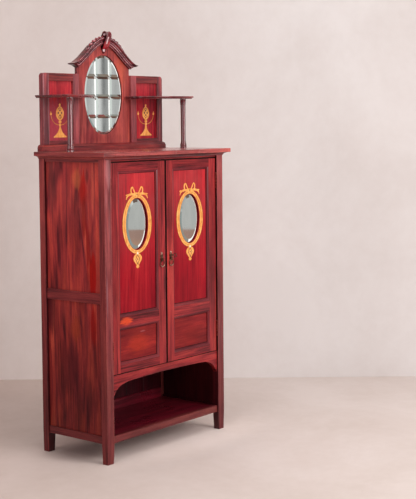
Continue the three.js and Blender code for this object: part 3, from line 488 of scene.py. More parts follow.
def smooth_path(points, per=6):
    """Catmull-Rom through the points, of any dimension."""
    out = []
    pts = [points[0]] + list(points) + [points[-1]]
    for i in range(1, len(pts) - 2):
        p0, p1, p2, p3 = pts[i - 1], pts[i], pts[i + 1], pts[i + 2]
        for k in range(per):
            t = k / per
            out.append(tuple(0.5 * (2 * b + (c - a) * t + (2 * a - 5 * b + 4 * c - d) * t * t
                                    + (3 * b - a - 3 * c + d) * t ** 3)
                             for a, b, c, d in zip(p0, p1, p2, p3)))
    out.append(tuple(float(v) for v in points[-1]))
    return out


def resample(points, n):
    """n points evenly spaced along the line."""
    d = [0.0]
    for a, b in zip(points, points[1:]):
        d.append(d[-1] + math.dist(a, b))
    out, j = [], 0
    for k in range(n):
        s = d[-1] * k / (n - 1)
        while j < len(d) - 2 and d[j + 1] < s:
            j += 1
        t = (s - d[j]) / max(d[j + 1] - d[j], 1e-9)
        out.append(tuple(a + (b - a) * t for a, b in zip(points[j], points[j + 1])))
    return out


def whole(half):
    return [(-x, z) for x, z in reversed(half[1:])] + list(half)


def at(curve, x):
    x = abs(x)
    for (x0, z0), (x1, z1) in zip(curve, curve[1:]):
        if x <= x1:
            return z0 + (z1 - z0) * (x - x0) / (x1 - x0)
    return curve[-1][1]


def ellipse(cx, cz, rx, rz, n):
    return [(cx + rx * math.cos(2 * math.pi * i / n), cz + rz * math.sin(2 * math.pi * i / n)) for i in range(n)]


def plate_with_oval(bm, outline, cx, cz, rx, rz, y0, y1, n=96, rim=1.2, rebate=None):
    """A flat board with an oval hole: outline is a closed line seen from the front, star-shaped about the hole."""
    corners = [math.atan2(z - cz, x - cx) % (2 * math.pi) for x, z in outline]
    angles = sorted(set([round(2 * math.pi * i / n, 6) for i in range(n)] + [round(c, 6) for c in corners]))
    clean = []
    for a in angles:
        if clean and a - clean[-1] < 1e-3:
            if any(abs(a - round(c, 6)) < 1e-9 for c in corners):
                clean[-1] = a
            continue
        clean.append(a)
    angles = clean

    def oval_at(a, grow):
        c, s = math.cos(a), math.sin(a)
        r = 1 / math.sqrt((c / (rx + grow)) ** 2 + (s / (rz + grow)) ** 2)
        return cx + r * c, cz + r * s

    def edge_at(a):
        c, s = math.cos(a), math.sin(a)
        best = None
        for (xa, za), (xb, zb) in zip(outline, outline[1:] + outline[:1]):
            dx, dz = xb - xa, zb - za
            den = c * dz - s * dx
            if abs(den) < 1e-12:
                continue
            t = ((xa - cx) * dz - (za - cz) * dx) / den
            u = ((xa - cx) * s - (za - cz) * c) / den
            if t > 0 and -1e-6 <= u <= 1 + 1e-6 and (best is None or t < best):
                best = t
        return cx + best * c, cz + best * s

    rings = []
    steps = [(rim, y0), (rim * 0.35, y0 + rim * 0.25), (0, y0 + rim), (0, y1)]
    if rebate:
        steps += [(rebate[0], y1), rebate]
        y1 = rebate[1]
    for grow, y in steps:
        rings.append([(x, y, z) for x, z in (oval_at(a, grow) for a in angles)])
    outer = [edge_at(a) for a in angles]
    rings.append([(x, y1, z) for x, z in outer])
    rings.append([(x, y0, z) for x, z in outer])
    rows = ring_loft(bm, rings)
    return rows


# ------------------------------------------------------------------ carcase timbers
def one(grain_index, board):
    return lambda c, n: (grain_index, board)


for k, name in enumerate(["post_front_left", "post_front_right", "post_back_left", "post_back_right"]):
    bm = soften(cad_copy(name), 1.0)

    def post_faces(c, n, k=k):
        # painted shade: the inner faces by the doors, the recess faces of the back posts, the inward faces and the
        # lower front faces of the back legs
        inner = abs(c.x) < 318 and abs(n.x) > 0.7 and c.z > 335 and c.y < -150
        recess = k > 1 and n.y < -0.9 and c.z > 100 and c.y < 157 and abs(c.x) > 335
        shaded = abs(c.x) < 332 and n.x * c.x < 0 and abs(n.x) > 0.7 or k > 1 and n.y < -0.9 and c.z < 100
        if inner:
            return 1, 1.0 + k
        if recess or shaded:
            return 3, 1.0 + k
        return (2 if abs(n.x) > 0.7 else 0), 1.0 + k
    if k < 2:
        cut(bm, "Z", 335)
    if k > 1:
        for z in (105, 607, 647, 1139.5):
            cut(bm, "Z", z)
        for x in (343.5,):
            cut(bm, "X", x if name.endswith("right") else -x)
    piece(name + "_wood", bm, "carcase", [frame_wood["Z"], joint_shade_wood["Z"], side_frame_wood["Z"], shade_paint_wood["Z"]], post_faces, name)

for k, name in enumerate(["side_top_rail", "side_mid_rail", "side_bottom_rail"]):
    for side in ("left", "right"):
        node = f"{name}_{side}"
        # the inner faces take painted shade
        piece(node + "_wood", soften(cad_copy(node), 0.8), "carcase", [side_frame_wood["Y"], shade_paint_wood["X"]],
              lambda c, n, k=k: (1 if abs(c.x) < 331.5 else 0, 6.0 + k), node)
for k, name in enumerate(["side_panel_upper", "side_panel_lower"]):
    for side in ("left", "right"):
        node = f"{name}_{side}"
        # the inner faces take painted shade
        piece(node + "_wood", soften(cad_copy(node), 0.4), "carcase", [side_wood["Z"], shade_paint_wood["Z"]],
              lambda c, n, k=k: (1 if abs(c.x) < 336.5 else 0, 11.0 + k), node)

for k, (node, mats, slot) in enumerate([
        ("front_top_rail", [door_wood["X"]], "mahogany_frame"),
        ("lower_front_rail", [frame_wood["X"]], "mahogany_frame"),
        ("apron", [door_wood["X"]], "mahogany_frame"),
        ("back_bottom_rail", [dark_wood["X"]], "mahogany_frame"),
        ("lower_shelf", [dark_wood["X"]], "mahogany_frame"),
        ("cabinet_floor", [plain_wood["X"]], "plain_board"),
        ("inner_shelf", [plain_wood["X"]], "plain_board"),
        ("back_panel", [plain_wood["Z"]], "plain_board")]):
    # the second finish: painted shade for the underside of the front top rail and the top of the apron; the darker
    # compartment-back finish on the back panel below 330
    under = joint_shade_wood["Z"] if node in ("front_top_rail", "apron") else shade_wood["Z"] if node == "back_panel" else mats[0]
    bm = cad_copy(node)
    if node == "back_panel":
        cut(bm, "Z", 330)

    def rail_rule(c, n, k=k, node=node):
        shade = (node == "front_top_rail" and n.z < -0.5) or (node == "apron" and n.z > 0.5) or (
            node == "back_panel" and c.z < 330 and n.y < 0.3)
        return (1 if shade else 0), 21.0 + k
    piece(node + "_wood", soften(bm, 0.8), "carcase", [mats[0], under], rail_rule, node)

# top board: rounded front and side edges
bm = cad_copy("top_board")
soften(bm, 1.6, segments=3)
piece("top_board_wood", bm, "carcase", [top_wood["X"], side_frame_wood["Y"]],
      lambda c, n: (1 if abs(n.x) > 0.6 and abs(n.z) < 0.5 else 0, 31.0), "top_board")

# cove under the top, mitred at the front corners
bm = new_mesh()
profile = smooth_path([(1149.5, 1.5), (1151, 1.75), (1153.25, 2.75), (1155.5, 4.5), (1157.5, 7), (1159, 10),
                       (1160, 13.2)], 4) + [(1160.2, 15), (1161.4, 15)]
loft(bm, [[(-355 - o, 186.5, z), (-355 - o, -161.5 - o, z), (355 + o, -161.5 - o, z), (355 + o, 186.5, z)]
          for z, o in [(1161.4, 0.05), (1149.5, 0.05)] + profile + [(1161.4, 0.05)]], closed=False, caps=False)
bmesh.ops.remove_doubles(bm, verts=bm.verts, dist=1e-6)
bmesh.ops.holes_fill(bm, edges=[e for e in bm.edges if e.is_boundary], sides=0)
piece("cove_moulding_wood", bm, "carcase", [gallery_wood["X"], side_frame_wood["Y"]],
      lambda c, n: (1 if abs(n.x) > abs(n.y) and abs(c.x) > 354 else 0, 33.0), "cove_moulding",
      smooth=50)


# ------------------------------------------------------------------ doors
def door_rule(offset):
    def rule(c, n):
        ax = abs(c.x)
        # gaps and outer edges: dark joints, with painted shade on the edge faces
        if ax < 5.2 or ax > 314.3 or c.z < 336.5 or c.z > 1137.0:
            return 2, offset
        if c.y > -153.8 and c.y < -145.9 and 45 < ax < 272:
            upright = abs(n.x) > abs(n.z)
            # panel mouldings: painted shade on the faces by the panel, painted highlight on the outer faces of the
            # upright runs and of all runs but the top one of the upper panel; the rest keep the darker moulding finish
            if c.y > -148.4 and abs(n.y) < 0.97:
                return 2, offset
            if c.y < -151.4 and (upright or c.z < 1080):
                return (5 if upright else 6), offset + 9
            return (3 if upright else 4), offset + 9
        if ax < 45.05:
            return 0, offset + 1
        if ax > 271.95:
            return 0, offset + 2
        if abs(n.x) > abs(n.z) + 0.05 and c.z < 1106:
            return 0, offset + 3
        return 1, offset + (4 if c.z > 1090 else 5 if c.z > 500 else 6)
    return rule


for side, s in (("left", -1), ("right", 1)):
    body = side + "_door"
    off = 40.0 if s < 0 else 50.0
    node = f"{side}_door_frame"
    bm = cad_copy(node)
    for x in (5.2, 45, 272):
        cut(bm, "X", s * x)
    for y in (-151.4, -148.4):
        cut(bm, "Y", y)
    cut(bm, "Z", 1137.0)
    soften(bm, 0.7, angle=50)
    piece(node + "_wood", bm, body, [door_wood["Z"], door_wood["X"], joint_shade_wood["Z"], moulding_wood["Z"],
                                     moulding_wood["X"], lit_moulding_wood["Z"], lit_moulding_wood["X"]], door_rule(off), node, smooth=40)

    x0, x1 = sorted((s * 50.25, s * 266.75))
    bm = new_mesh()
    plate_with_oval(bm, [(x0, 557.25), (x1, 557.25), (x1, 1099.75), (x0, 1099.75)], s * OVAL_X, OVAL_Z, OVAL_RX,
                    OVAL_RZ, PANEL_FACE, PANEL_BACK)
    piece(f"{side}_door_upper_panel_wood", bm, body, [crimson["Z"]], one(0, off + 7), f"{side}_door_upper_panel",
          smooth=50)
    node = f"{side}_door_lower_panel"
    piece(node + "_wood", soften(cad_copy(node), 0.5), body, [low_panel["X"]], one(0, off + 8), node)


# ------------------------------------------------------------------ mirrors
def oval_mirror(name, body, replaces, cx, cz, rx, rz, face, back, bevel, drop, grooves_x=(), grooves_z=(), n=96):
    """Silvered plate with a ground bevel and V-cut lines; grooves are (centre, half width, depth)."""
    bm = new_mesh()
    inner = ellipse(cx, cz, rx - bevel, rz - bevel, n)
    outer = ellipse(cx, cz, rx, rz, n)
    a = [bm.verts.new(V(x, face, z)) for x, z in inner]
    b = [bm.verts.new(V(x, face, z)) for x, z in outer]
    bm.faces.new(a[::-1])
    for i in range(n):
        j = (i + 1) % n
        bm.faces.new((a[i], b[i], b[j], a[j]))
    for c, w, d in grooves_x:
        for x in (c - w, c, c + w):
            cut(bm, "X", x)
    for c, w, d in grooves_z:
        for z in (c - w, c, c + w):
            cut(bm, "Z", z)
    bmesh.ops.triangulate(bm, faces=[f for f in bm.faces if len(f.verts) == 4 and f.calc_area() < 4e-4
                                     and grooves_x], quad_method="BEAUTY")
    for v in bm.verts:
        x, z = v.co.x / MM, v.co.z / MM
        depth = 0.0
        for c, w, d in grooves_x:
            depth = max(depth, d * (1 - abs(x - c) / w))
        for c, w, d in grooves_z:
            depth = max(depth, d * (1 - abs(z - c) / w))
        # distance outside the flat, measured as a share of the bevel's width
        k = math.hypot((x - cx) / rx, (z - cz) / rz)
        ki = math.hypot((x - cx) / (rx - bevel), (z - cz) / (rz - bevel))
        if ki > 1 + 1e-6:
            share = (ki - 1) / max((ki - 1) + (1 - k), 1e-6)
            depth = max(depth, drop * min(share, 1.0))
        v.co.y = (face + depth) * MM
    # sides and back
    rim = [e for e in bm.edges if e.is_boundary]
    made = bmesh.ops.extrude_edge_only(bm, edges=rim)["geom"]
    low = [g for g in made if isinstance(g, bmesh.types.BMVert)]
    for v in low:
        v.co.y = back * MM
    bmesh.ops.holes_fill(bm, edges=[e for e in bm.edges if e.is_boundary], sides=0)
    return piece(name, bm, body, [silvered, plate_back], lambda c, n: (1 if n.y > 0.5 else 0, 0.0), replaces,
                 smooth=2.2, weighted=False)


for side, s in (("left", -1), ("right", 1)):
    oval_mirror(f"{side}_door_mirror_glass", side + "_door", f"{side}_door_mirror", s * OVAL_X, OVAL_Z, OVAL_RX + 6,
                OVAL_RZ + 6, -141.95, -138.0, 21.0, 3.2)
oval_mirror("gallery_mirror_glass", "carcase", "gallery_mirror", 0, GLASS_Z, GLASS_RX + 5, GLASS_RZ + 5,
            GLASS_FACE + 0.05, GLASS_BACK, 15.0, 2.6,
            grooves_x=[(-41, 10.5, 1.95), (40, 10.5, 1.95)],
            grooves_z=[(1474.5, 10, 2.1), (1394, 8.5, 1.8), (1313, 7.5, 1.6)],
            n=120)


# ------------------------------------------------------------------ inlay
def strip(bm, points, widths, y, thick=0.35, mark=0.0):
    """A band along a line in X and Z, let in with its face just proud of y."""
    rings, n = [], len(points)
    for i, (x, z) in enumerate(points):
        ax, az = points[max(i - 1, 0)]
        bx, bz = points[min(i + 1, n - 1)]
        dx, dz = bx - ax, bz - az
        length = math.hypot(dx, dz) or 1.0
        nx, nz = -dz / length, dx / length
        w = (widths[i] if hasattr(widths, "__len__") else widths) / 2
        rings.append([(x + nx * w, y - thick, z + nz * w), (x - nx * w, y - thick, z - nz * w),
                      (x - nx * w, y, z - nz * w), (x + nx * w, y, z + nz * w)])
    before = set(bm.faces)
    loft(bm, rings)
    layer = bm.faces.layers.float.get("edge")
    for f in set(bm.faces) - before:
        f[layer] = mark


def disc(bm, cx, cz, rx, rz, y, thick=0.35, n=28, mark=0.0):
    pts = ellipse(cx, cz, rx, rz, n)
    before = set(bm.faces)
    loft(bm, [[(x, y - thick, z) for x, z in pts], [(x, y, z) for x, z in pts]])
    layer = bm.faces.layers.float.get("edge")
    for f in set(bm.faces) - before:
        f[layer] = mark


def flat_ring(bm, cx, cz, inner, outer, y, thick=0.35, n=96, mark=0.0):
    before = set(bm.faces)
    a, b = ellipse(cx, cz, *inner, n), ellipse(cx, cz, *outer, n)
    ring_loft(bm, [[(x, y - thick, z) for x, z in a], [(x, y - thick, z) for x, z in b],
                   [(x, y, z) for x, z in b], [(x, y, z) for x, z in a]])
    layer = bm.faces.layers.float.get("edge")
    for f in set(bm.faces) - before:
        f[layer] = mark


def polygon(bm, pts, y, thick=0.35, mark=0.0):
    before = set(bm.faces)
    loft(bm, [[(x, y - thick, z) for x, z in pts], [(x, y, z) for x, z in pts]])
    layer = bm.faces.layers.float.get("edge")
    for f in set(bm.faces) - before:
        f[layer] = mark


def taper(n, a, b, c):
    """Widths that run a, b in the middle, c."""
    return [a + (b - a) * math.sin(math.pi * i / (n - 1)) if i <= (n - 1) / 2
            else c + (b - c) * math.sin(math.pi * i / (n - 1)) for i in range(n)]


def door_inlay(side, s):
    cx, y = s * OVAL_X, PANEL_FACE
    gold, line = new_mesh(), new_mesh()
    flat_ring(gold, cx, OVAL_Z, (64.2, 101.2), (83, 114.5), y)
    flat_ring(line, cx, OVAL_Z, (63.3, 100.4), (64.2, 101.2), y, 0.3)
    flat_ring(line, cx, OVAL_Z, (83, 114.5), (84.0, 115.4), y, 0.3)
    flat_ring(line, cx, OVAL_Z, (73.0, 107.2), (73.8, 107.9), y, 0.45)
    for k in (-1, 1):
        # a loop of the bow, leaning outwards
        loop = smooth_path([(cx + k * 2, 1012), (cx + k * 13, 1021), (cx + k * 19, 1031), (cx + k * 24.5, 1039),
                            (cx + k * 31, 1037), (cx + k * 33.5, 1028), (cx + k * 31, 1018), (cx + k * 24, 1011),
                            (cx + k * 12, 1008)], 5)
        strip(gold, loop, taper(len(loop), 5.0, 6.2, 5.0), y, 0.5)
        tail = smooth_path([(cx + k * 4, 1012), (cx + k * 22, 1014), (cx + k * 38, 1013), (cx + k * 50, 1009),
                            (cx + k * 60, 1003)], 5)
        strip(gold, tail, taper(len(tail), 7.0, 8.5, 4.0), y, 0.45)
        fork = smooth_path([(cx + k * 44, 1012), (cx + k * 54, 1012), (cx + k * 63, 1011)], 5)
        strip(gold, fork, taper(len(fork), 5.0, 5.0, 3.0), y, 0.55)
        fork = smooth_path([(cx + k * 52, 1007), (cx + k * 58, 1001), (cx + k * 61, 994)], 5)
        strip(gold, fork, taper(len(fork), 5.0, 4.5, 3.0), y, 0.55)
    disc(gold, cx, 1012.5, 9.5, 6.5, y, 0.6)
    disc(line, cx, 1012.5, 3.2, 2.2, y, 0.7)
    # pendant: a drop with a diamond line and a dot, over a small ball
    drop = smooth_path([(0, 787), (9, 783), (19, 776), (24.5, 766), (21, 756), (13, 747), (7, 740), (0, 736)], 5)
    polygon(gold, [(cx + x, z) for x, z in drop] + [(cx - x, z) for x, z in reversed(drop[1:-1])], y, 0.5)
    disc(gold, cx, 733.5, 8.5, 6.5, y, 0.55)
    for k in (-1, 1):
        strip(line, [(cx, 779.5), (cx + k * 11.5, 762)], 2.6, y, 0.6)
        strip(line, [(cx + k * 11.5, 762), (cx, 744)], 2.6, y, 0.6)
        disc(line, cx + k * 11.5, 762, 1.5, 1.5, y, 0.65, 12)
    disc(line, cx, 762, 3.0, 3.0, y, 0.7, 16)
    disc(line, cx, 743.5, 3.0, 2.4, y, 0.7, 16)
    pale = new_mesh()
    disc(pale, cx, 785.0, 5.2, 4.4, y, 0.75, 20)
    for name, bm, mat in (("gold", gold, gold_inlay), ("line", line, dark_line), ("pearl", pale, pearl)):
        piece(f"{side}_door_inlay_{name}", bm, side + "_door", [mat], one(0, 60.0 + s), (),
              weighted=False)


def wing_inlay(side, s):
    cx, y = s * 253.0, WING_PANEL
    gold, line = new_mesh(), new_mesh()
    disc(gold, cx, 1358.5, 4.8, 5.2, y, 0.5)
    body = smooth_path([(0, 1354), (7, 1351), (14.5, 1344), (20, 1334), (21.5, 1325), (19.5, 1314), (13.5, 1305),
                        (6, 1299), (0, 1297)], 4)
    polygon(gold, [(cx + x, z) for x, z in body] + [(cx - x, z) for x, z in reversed(body[1:-1])], y, 0.4)
    disc(gold, cx, 1291.5, 8.0, 6.0, y, 0.5)
    strip(gold, [(cx, 1290), (cx, 1281), (cx, 1271)], [5.5, 5.0, 6.5], y, 0.45)
    disc(gold, cx, 1280, 7.0, 3.6, y, 0.55)
    foot = [(0, 1276)] + smooth_path([(3.2, 1275), (5.8, 1265), (10.5, 1255), (17, 1247), (25, 1240.5), (32, 1236)], 5) + [
        (35, 1235), (35, 1231), (0, 1231)]
    polygon(gold, [(cx + x, z) for x, z in foot] + [(cx - x, z) for x, z in reversed(foot[1:-1])], y, 0.4)
    for k in (-1, 1):
        arm = smooth_path([(cx, 1281), (cx + k * 14, 1281.5), (cx + k * 27, 1286), (cx + k * 37, 1294),
                           (cx + k * 44, 1304), (cx + k * 48, 1317)], 5)
        strip(gold, arm, taper(len(arm), 3.4, 3.0, 2.4), y, 0.5, mark=0.8)
        disc(gold, cx + k * 48.5, 1323, 5.0, 5.4, y, 0.5)
        disc(gold, cx + k * 48.5, 1330, 1.8, 3.4, y, 0.45)
    # cut-outs of the oval body
    for k in (-1, 1):
        disc(line, cx + k * 8.6, 1327, 3.6, 4.2, y, 0.55, 14)
        disc(line, cx + k * 6.0, 1343, 1.8, 2.6, y, 0.55, 14)
        disc(line, cx + k * 7.0, 1311, 1.6, 2.4, y, 0.55, 14)
    disc(line, cx, 1336.5, 3.8, 3.8, y, 0.6, 16)
    disc(line, cx, 1317.5, 3.8, 3.8, y, 0.6, 16)
    disc(line, cx, 1346.5, 2.2, 3.0, y, 0.6, 16)
    disc(line, cx, 1306.5, 2.4, 3.2, y, 0.6, 16)
    for name, bm, mat in (("gold", gold, gold_inlay), ("line", line, dark_line)):
        piece(f"gallery_wing_inlay_{name}_{side}", bm, "carcase", [mat], one(0, 63.0 + s), (),
              weighted=False)


def pearl_material():
    m = Mat("pale_dot")
    p = m.node("ShaderNodeTexCoord").outputs["Object"]
    n = m.noise(p, 400.0, 3.0)
    colour = m.ramp(n, [(0.35, srgb("E8C8A8")), (0.65, srgb("FFF0E0"))])
    bump = m.node("ShaderNodeBump", Strength=0.1, Distance=0.0002, Height=n).outputs[0]
    return m.finish(Base_Color=colour, Roughness=m.range(n, 0.3, 0.7, 0.2, 0.35), Normal=bump, Coat_Weight=0.4,
                    Coat_Roughness=0.1)


pearl = pearl_material()
for side, s in (("left", -1), ("right", 1)):
    door_inlay(side, s)
    wing_inlay(side, s)

# ------------------------------------------------------------------ gallery boards
bm = new_mesh()
profile = [(1177.6, 0), (1193.2, 0), (1193.4, 0.4), (1193.6, 1.2)] + smooth_path(
    [(1194.4, 1.0), (1197, 1.8), (1200, 4), (1202.6, 7.0), (1203.6, 9.6)], 4) + [(1204, 11)]
loft(bm, [[(-360 + o, 151.5 + o, z), (360 - o, 151.5 + o, z), (360 - o, 186.5, z), (-360 + o, 186.5, z)]
          for z, o in profile])
for z in (1179, 1190):
    cut(bm, "Z", z)
# the quirk above the bead and the strip at the foot take painted shade
piece("gallery_plinth_wood", bm, "carcase", [gallery_wood["X"], shade_paint_wood["X"], gallery_wood["X"]],
      lambda c, n: (1 if 1193.1 < c.z < 1194.6 or c.z < 1179 else 2 if c.z > 1199 else 0, 71.0), "gallery_plinth",
      smooth=40)

for side, s in (("left", -1), ("right", 1)):
    node = f"gallery_wing_frame_{side}"
    bm = cad_copy(node)
    for x in (186, 318):
        cut(bm, "X", s * x)
    soften(bm, 0.9, angle=50)
    piece(node + "_wood", bm, "carcase", [wing_wood["Z"], gallery_wood["X"]],
          lambda c, n: (1 if 186 < abs(c.x) < 318 and abs(n.x) < 0.7 else 0,
                        73.0 + (0 if abs(c.x) < 186 else 1 if abs(c.x) > 318 else 2 if c.z > 1300 else 3)), node,
          smooth=40)
    node = f"gallery_wing_panel_{side}"
    piece(node + "_wood", soften(cad_copy(node), 0.4), "carcase", [wing_crimson["Z"]], one(0, 79.0 + s), node)

bm = new_mesh()
top = [(-152.75, 1520)] + [p for p in whole(smooth_path(BOARD_TOP, 3))][1:-1] + [(152.75, 1520)]
plate_with_oval(bm, [(-152.75, 1204), (152.75, 1204)] + top[::-1], 0, GLASS_Z, GLASS_RX, GLASS_RZ, BOARD_FRONT,
                GLASS_FACE, n=120, rim=1.2, rebate=(5.5, GALLERY_BACK))
piece("gallery_centre_board_wood", bm, "carcase", [board_wood["Z"], cornice_wood["X"]],
      lambda c, n: (1 if abs(n.x) > 0.9 and abs(c.x) > 150 else 0, 82.0), "gallery_centre_board",
      smooth=50)

# ------------------------------------------------------------------ swept cornice
stations = 121
top_line = resample(whole(smooth_path(ARCH_TOP, 5)), stations)
low_line = whole(smooth_path(ARCH_LOW[:6], 5)[:-1] + smooth_path(ARCH_LOW[5:], 4))
low_line = resample(low_line, stations)
section = [(1.0, 185.0), (1.0, 152.0), (0.985, 151.2), (0.95, 151.0)] + smooth_path(
    [(0.94, 152.2), (0.90, 151.6), (0.84, 151.5), (0.77, 152.3), (0.70, 154.0), (0.63, 156.0), (0.57, 157.2)], 3) + [
    (0.55, 159.6), (0.515, 159.9), (0.50, 157.4), (0.47, 157.0), (0.36, 157.2), (0.28, 158.2),
    (0.265, 160.8), (0.23, 161.0), (0.22, 159.2), (0.195, 158.4), (0.155, 158.1), (0.115, 158.6), (0.095, 160.0),
    (0.08, 162.4), (0.04, 163.3), (0.0, 163.5), (0.0, 185.0)]
bm = new_mesh()

def groove(i):
    # across the section: painted shade in the dark bands and painted highlight in the pale bands
    t0, t1 = section[i][0], section[(i + 1) % len(section)][0]
    t = (t0 + t1) / 2
    if 0.505 < t < 0.57 or 0.222 < t < 0.272 or 0.475 < t < 0.505:
        return 1
    return 2 if 0.57 < t < 0.62 or 0.272 < t < 0.33 or 0.03 < t < 0.085 or 0.93 < t < 0.98 else 0


loft(bm, [[(lx + (tx - lx) * t, y, lz + (tz - lz) * t) for t, y in section]
          for (tx, tz), (lx, lz) in zip(top_line, low_line)], paint=groove)
for f in bm.faces:
    f[bm.faces.layers.float.get("board")] = 84.0
bmesh.ops.recalc_face_normals(bm, faces=bm.faces)
for f in bm.faces:
    # shaded ends and the underside of the flared corners
    c = f.calc_center_median() / MM
    if abs(c.x) > 188.5 or f.normal.z < -0.6 and abs(c.x) > 150:
        f.material_index = 1
piece("cornice_moulding_wood", bm, "carcase", [cornice_wood["X"], shade_paint_wood["X"], highlight_paint_wood["X"]], None, "cornice_moulding",
      smooth=38, weighted=False)

# ------------------------------------------------------------------ carved bracket and leaf sprays
bm = new_mesh()
outline = smooth_path([(171.8, 1584), (165, 1584.8), (157.5, 1592), (150.8, 1603), (146.4, 1613), (143.5, 1621),
                       (139.8, 1628), (137.4, 1636), (137.2, 1644), (140, 1651.2), (145.5, 1656.2), (152, 1657.8),
                       (158.5, 1656.3), (163.5, 1652), (166.3, 1646), (171.8, 1638)], 4)
cols = 49
grid = []
for i, (y, z) in enumerate(outline):
    ay, az = outline[max(i - 1, 0)]
    by, bz = outline[min(i + 1, len(outline) - 1)]
    dy, dz = by - ay, bz - az
    length = math.hypot(dy, dz) or 1
    ny, nz = dz / length, -dy / length          # points into the bracket
    row = []
    front = max(0.0, min(1.0, (z - 1588) / 8)) * max(0.0, min(1.0, (1634 - z) / 8)) if y < 160 else 0.0
    roll = max(0.0, min(1.0, (z - 1632) / 6)) if y < 166 else 0.0
    for j in range(cols):
        u = -1 + 2 * j / (cols - 1)
        groove = abs(math.sin(1.5 * math.pi * (u + 1)))       # three reeds
        depth = front * 2.4 * (1 - groove ** 0.6) + roll * 1.6 * (1 - min(1.0, abs(u) * 1.15) ** 2)
        side_round = 1.6 * max(0.0, (abs(u) - 0.9) / 0.1) ** 2
        d = depth + side_round
        half = 15 - 2.2 * max(0.0, min(1.0, (1606 - z) / 20))
        row.append((u * half, y + ny * d, z + nz * d))
    grid.append(row)
rows = [[bm.verts.new(V(*p)) for p in row] for row in grid]
for a, b in zip(rows, rows[1:]):
    for j in range(cols - 1):
        bm.faces.new((a[j], a[j + 1], b[j + 1], b[j]))
for j in (0, cols - 1):
    bm.faces.new([r[j] for r in rows])
bm.faces.new([rows[0][j] for j in range(cols)] + [rows[-1][j] for j in range(cols - 1, -1, -1)])


def tube(bm, path, radius, n=8):
    """A round section along a line in 3-D, with flat ends."""
    rings, count = [], len(path)
    up = Vector((0, 0, 1))
    for i, p in enumerate(path):
        a, b = Vector(path[max(i - 1, 0)]), Vector(path[min(i + 1, count - 1)])
        d = (b - a).normalized()
        side_v = d.cross(up)
        if side_v.length < 0.05:
            side_v = d.cross(Vector((1, 0, 0)))
        side_v.normalize()
        over = side_v.cross(d).normalized()
        r = radius[i] if hasattr(radius, "__len__") else radius
        rings.append([tuple(Vector(p) + side_v * (r * math.cos(2 * math.pi * k / n))
                            + over * (r * math.sin(2 * math.pi * k / n))) for k in range(n)])
    loft(bm, rings)


for k in (-1, 1):
    # volute on each cheek of the roll
    spiral = []
    for i in range(44):
        t = i / 43
        r = 11.6 * (1 - t) ** 0.85 + 1.2
        a = -0.55 * math.pi + 2 * math.pi * 1.7 * t
        spiral.append((k * (15.0 + 0.5 * t), 150.8 + r * math.cos(a), 1643.8 + r * math.sin(a)))
    tube(bm, spiral, [2.0 * (1 - 0.35 * i / 43) for i in range(44)], 8)
    before = len(bm.verts)
    made = bmesh.ops.create_uvsphere(bm, u_segments=12, v_segments=8, radius=5.0 * MM,
                                     matrix=Matrix.Translation(V(k * 13.4, 150.2, 1643.8)))
    # rib down each cheek
    rib = [(k * 14.6, 141.5, 1629), (k * 14.4, 147.5, 1614), (k * 14.0, 153, 1602), (k * 13.2, 160, 1592.5)]
    tube(bm, smooth_path(rib, 5), 1.3, 8)


def bracket_rule(c, n):
    # painted glint on the eye and the middle reed, painted shade on the flat cheek, and a brighter red copy on the
    # lower front faces as painted light
    eye = math.hypot(c.y - 150.2, c.z - 1643.8) < 5.1 and abs(c.x) > 14.0
    if eye or -6.0 < c.x < 0.0 and 1606 < c.z < 1634 and n.y < -0.3:
        return 2, 91.0
    if abs(n.x) > 0.98 and abs(abs(c.x) - 15) < 3 and len_cheek(c):
        return 1, 91.0
    return (3 if c.z < 1616 and n.y < -0.2 else 0), 91.0


def len_cheek(c):
    """The flat cheek between the ribs."""
    return 1600 < c.z < 1640 and 148 < c.y < 166


piece("carved_bracket_wood", bm, "carcase", [carved_wood["Z"], joint_shade_wood["Z"], glint_paint_wood["X"], carved_lit_red["Z"]],
      bracket_rule, "carved_crest", smooth=60, weighted=False)

# pendant leaf under the bracket, with a painted glint on the left of its face
bm = new_mesh()
rows = []
n_long, n_wide = 22, 13
for i in range(n_long):
    t = i / (n_long - 1)
    z = 1592 - 24.5 * t
    half = 11.5 * math.sin(math.pi * min(1.0, 0.30 + 0.70 * t)) ** 0.8 * (1 - 0.16 * abs(math.sin(3.5 * math.pi * t)))
    half = max(half, 0.4)
    belly = 166.5 - 5.0 * math.sin(math.pi * min(1, t * 1.05)) ** 0.9
    row = []
    for j in range(n_wide):
        u = -1 + 2 * j / (n_wide - 1)
        rib = 1.1 * abs(math.sin(2.0 * math.pi * u)) if abs(u) > 0.12 else 0.0
        y = belly + 4.6 * u * u + rib * math.sin(math.pi * t)
        row.append((u * half, min(y, 171.8), z))
    rows.append(row)
front = [[bm.verts.new(V(*p)) for p in row] for row in rows]
back = [[bm.verts.new(V(p[0], 172.0, p[2])) for p in row] for row in rows]
for g, flip in ((front, False), (back, True)):
    for a, b in zip(g, g[1:]):
        for j in range(n_wide - 1):
            f = (a[j], a[j + 1], b[j + 1], b[j])
            bm.faces.new(f[::-1] if flip else f)
ring_f = [r[0] for r in front] + [front[-1][j] for j in range(1, n_wide)] + [r[-1] for r in front[-2::-1]] + \
    [front[0][j] for j in range(n_wide - 2, 0, -1)]
ring_b = [r[0] for r in back] + [back[-1][j] for j in range(1, n_wide)] + [r[-1] for r in back[-2::-1]] + \
    [back[0][j] for j in range(n_wide - 2, 0, -1)]
for i in range(len(ring_f)):
    j = (i + 1) % len(ring_f)
    bm.faces.new((ring_f[i], ring_f[j], ring_b[j], ring_b[i]))
piece("carved_pendant_leaf_wood", bm, "carcase", [carved_wood["Z"], glint_paint_wood["X"]],
      lambda c, n: (1 if -7.5 < c.x < -1.5 and 1574 < c.z < 1588 and n.y < -0.2 else 0, 92.0), (), smooth=60,
      weighted=False)

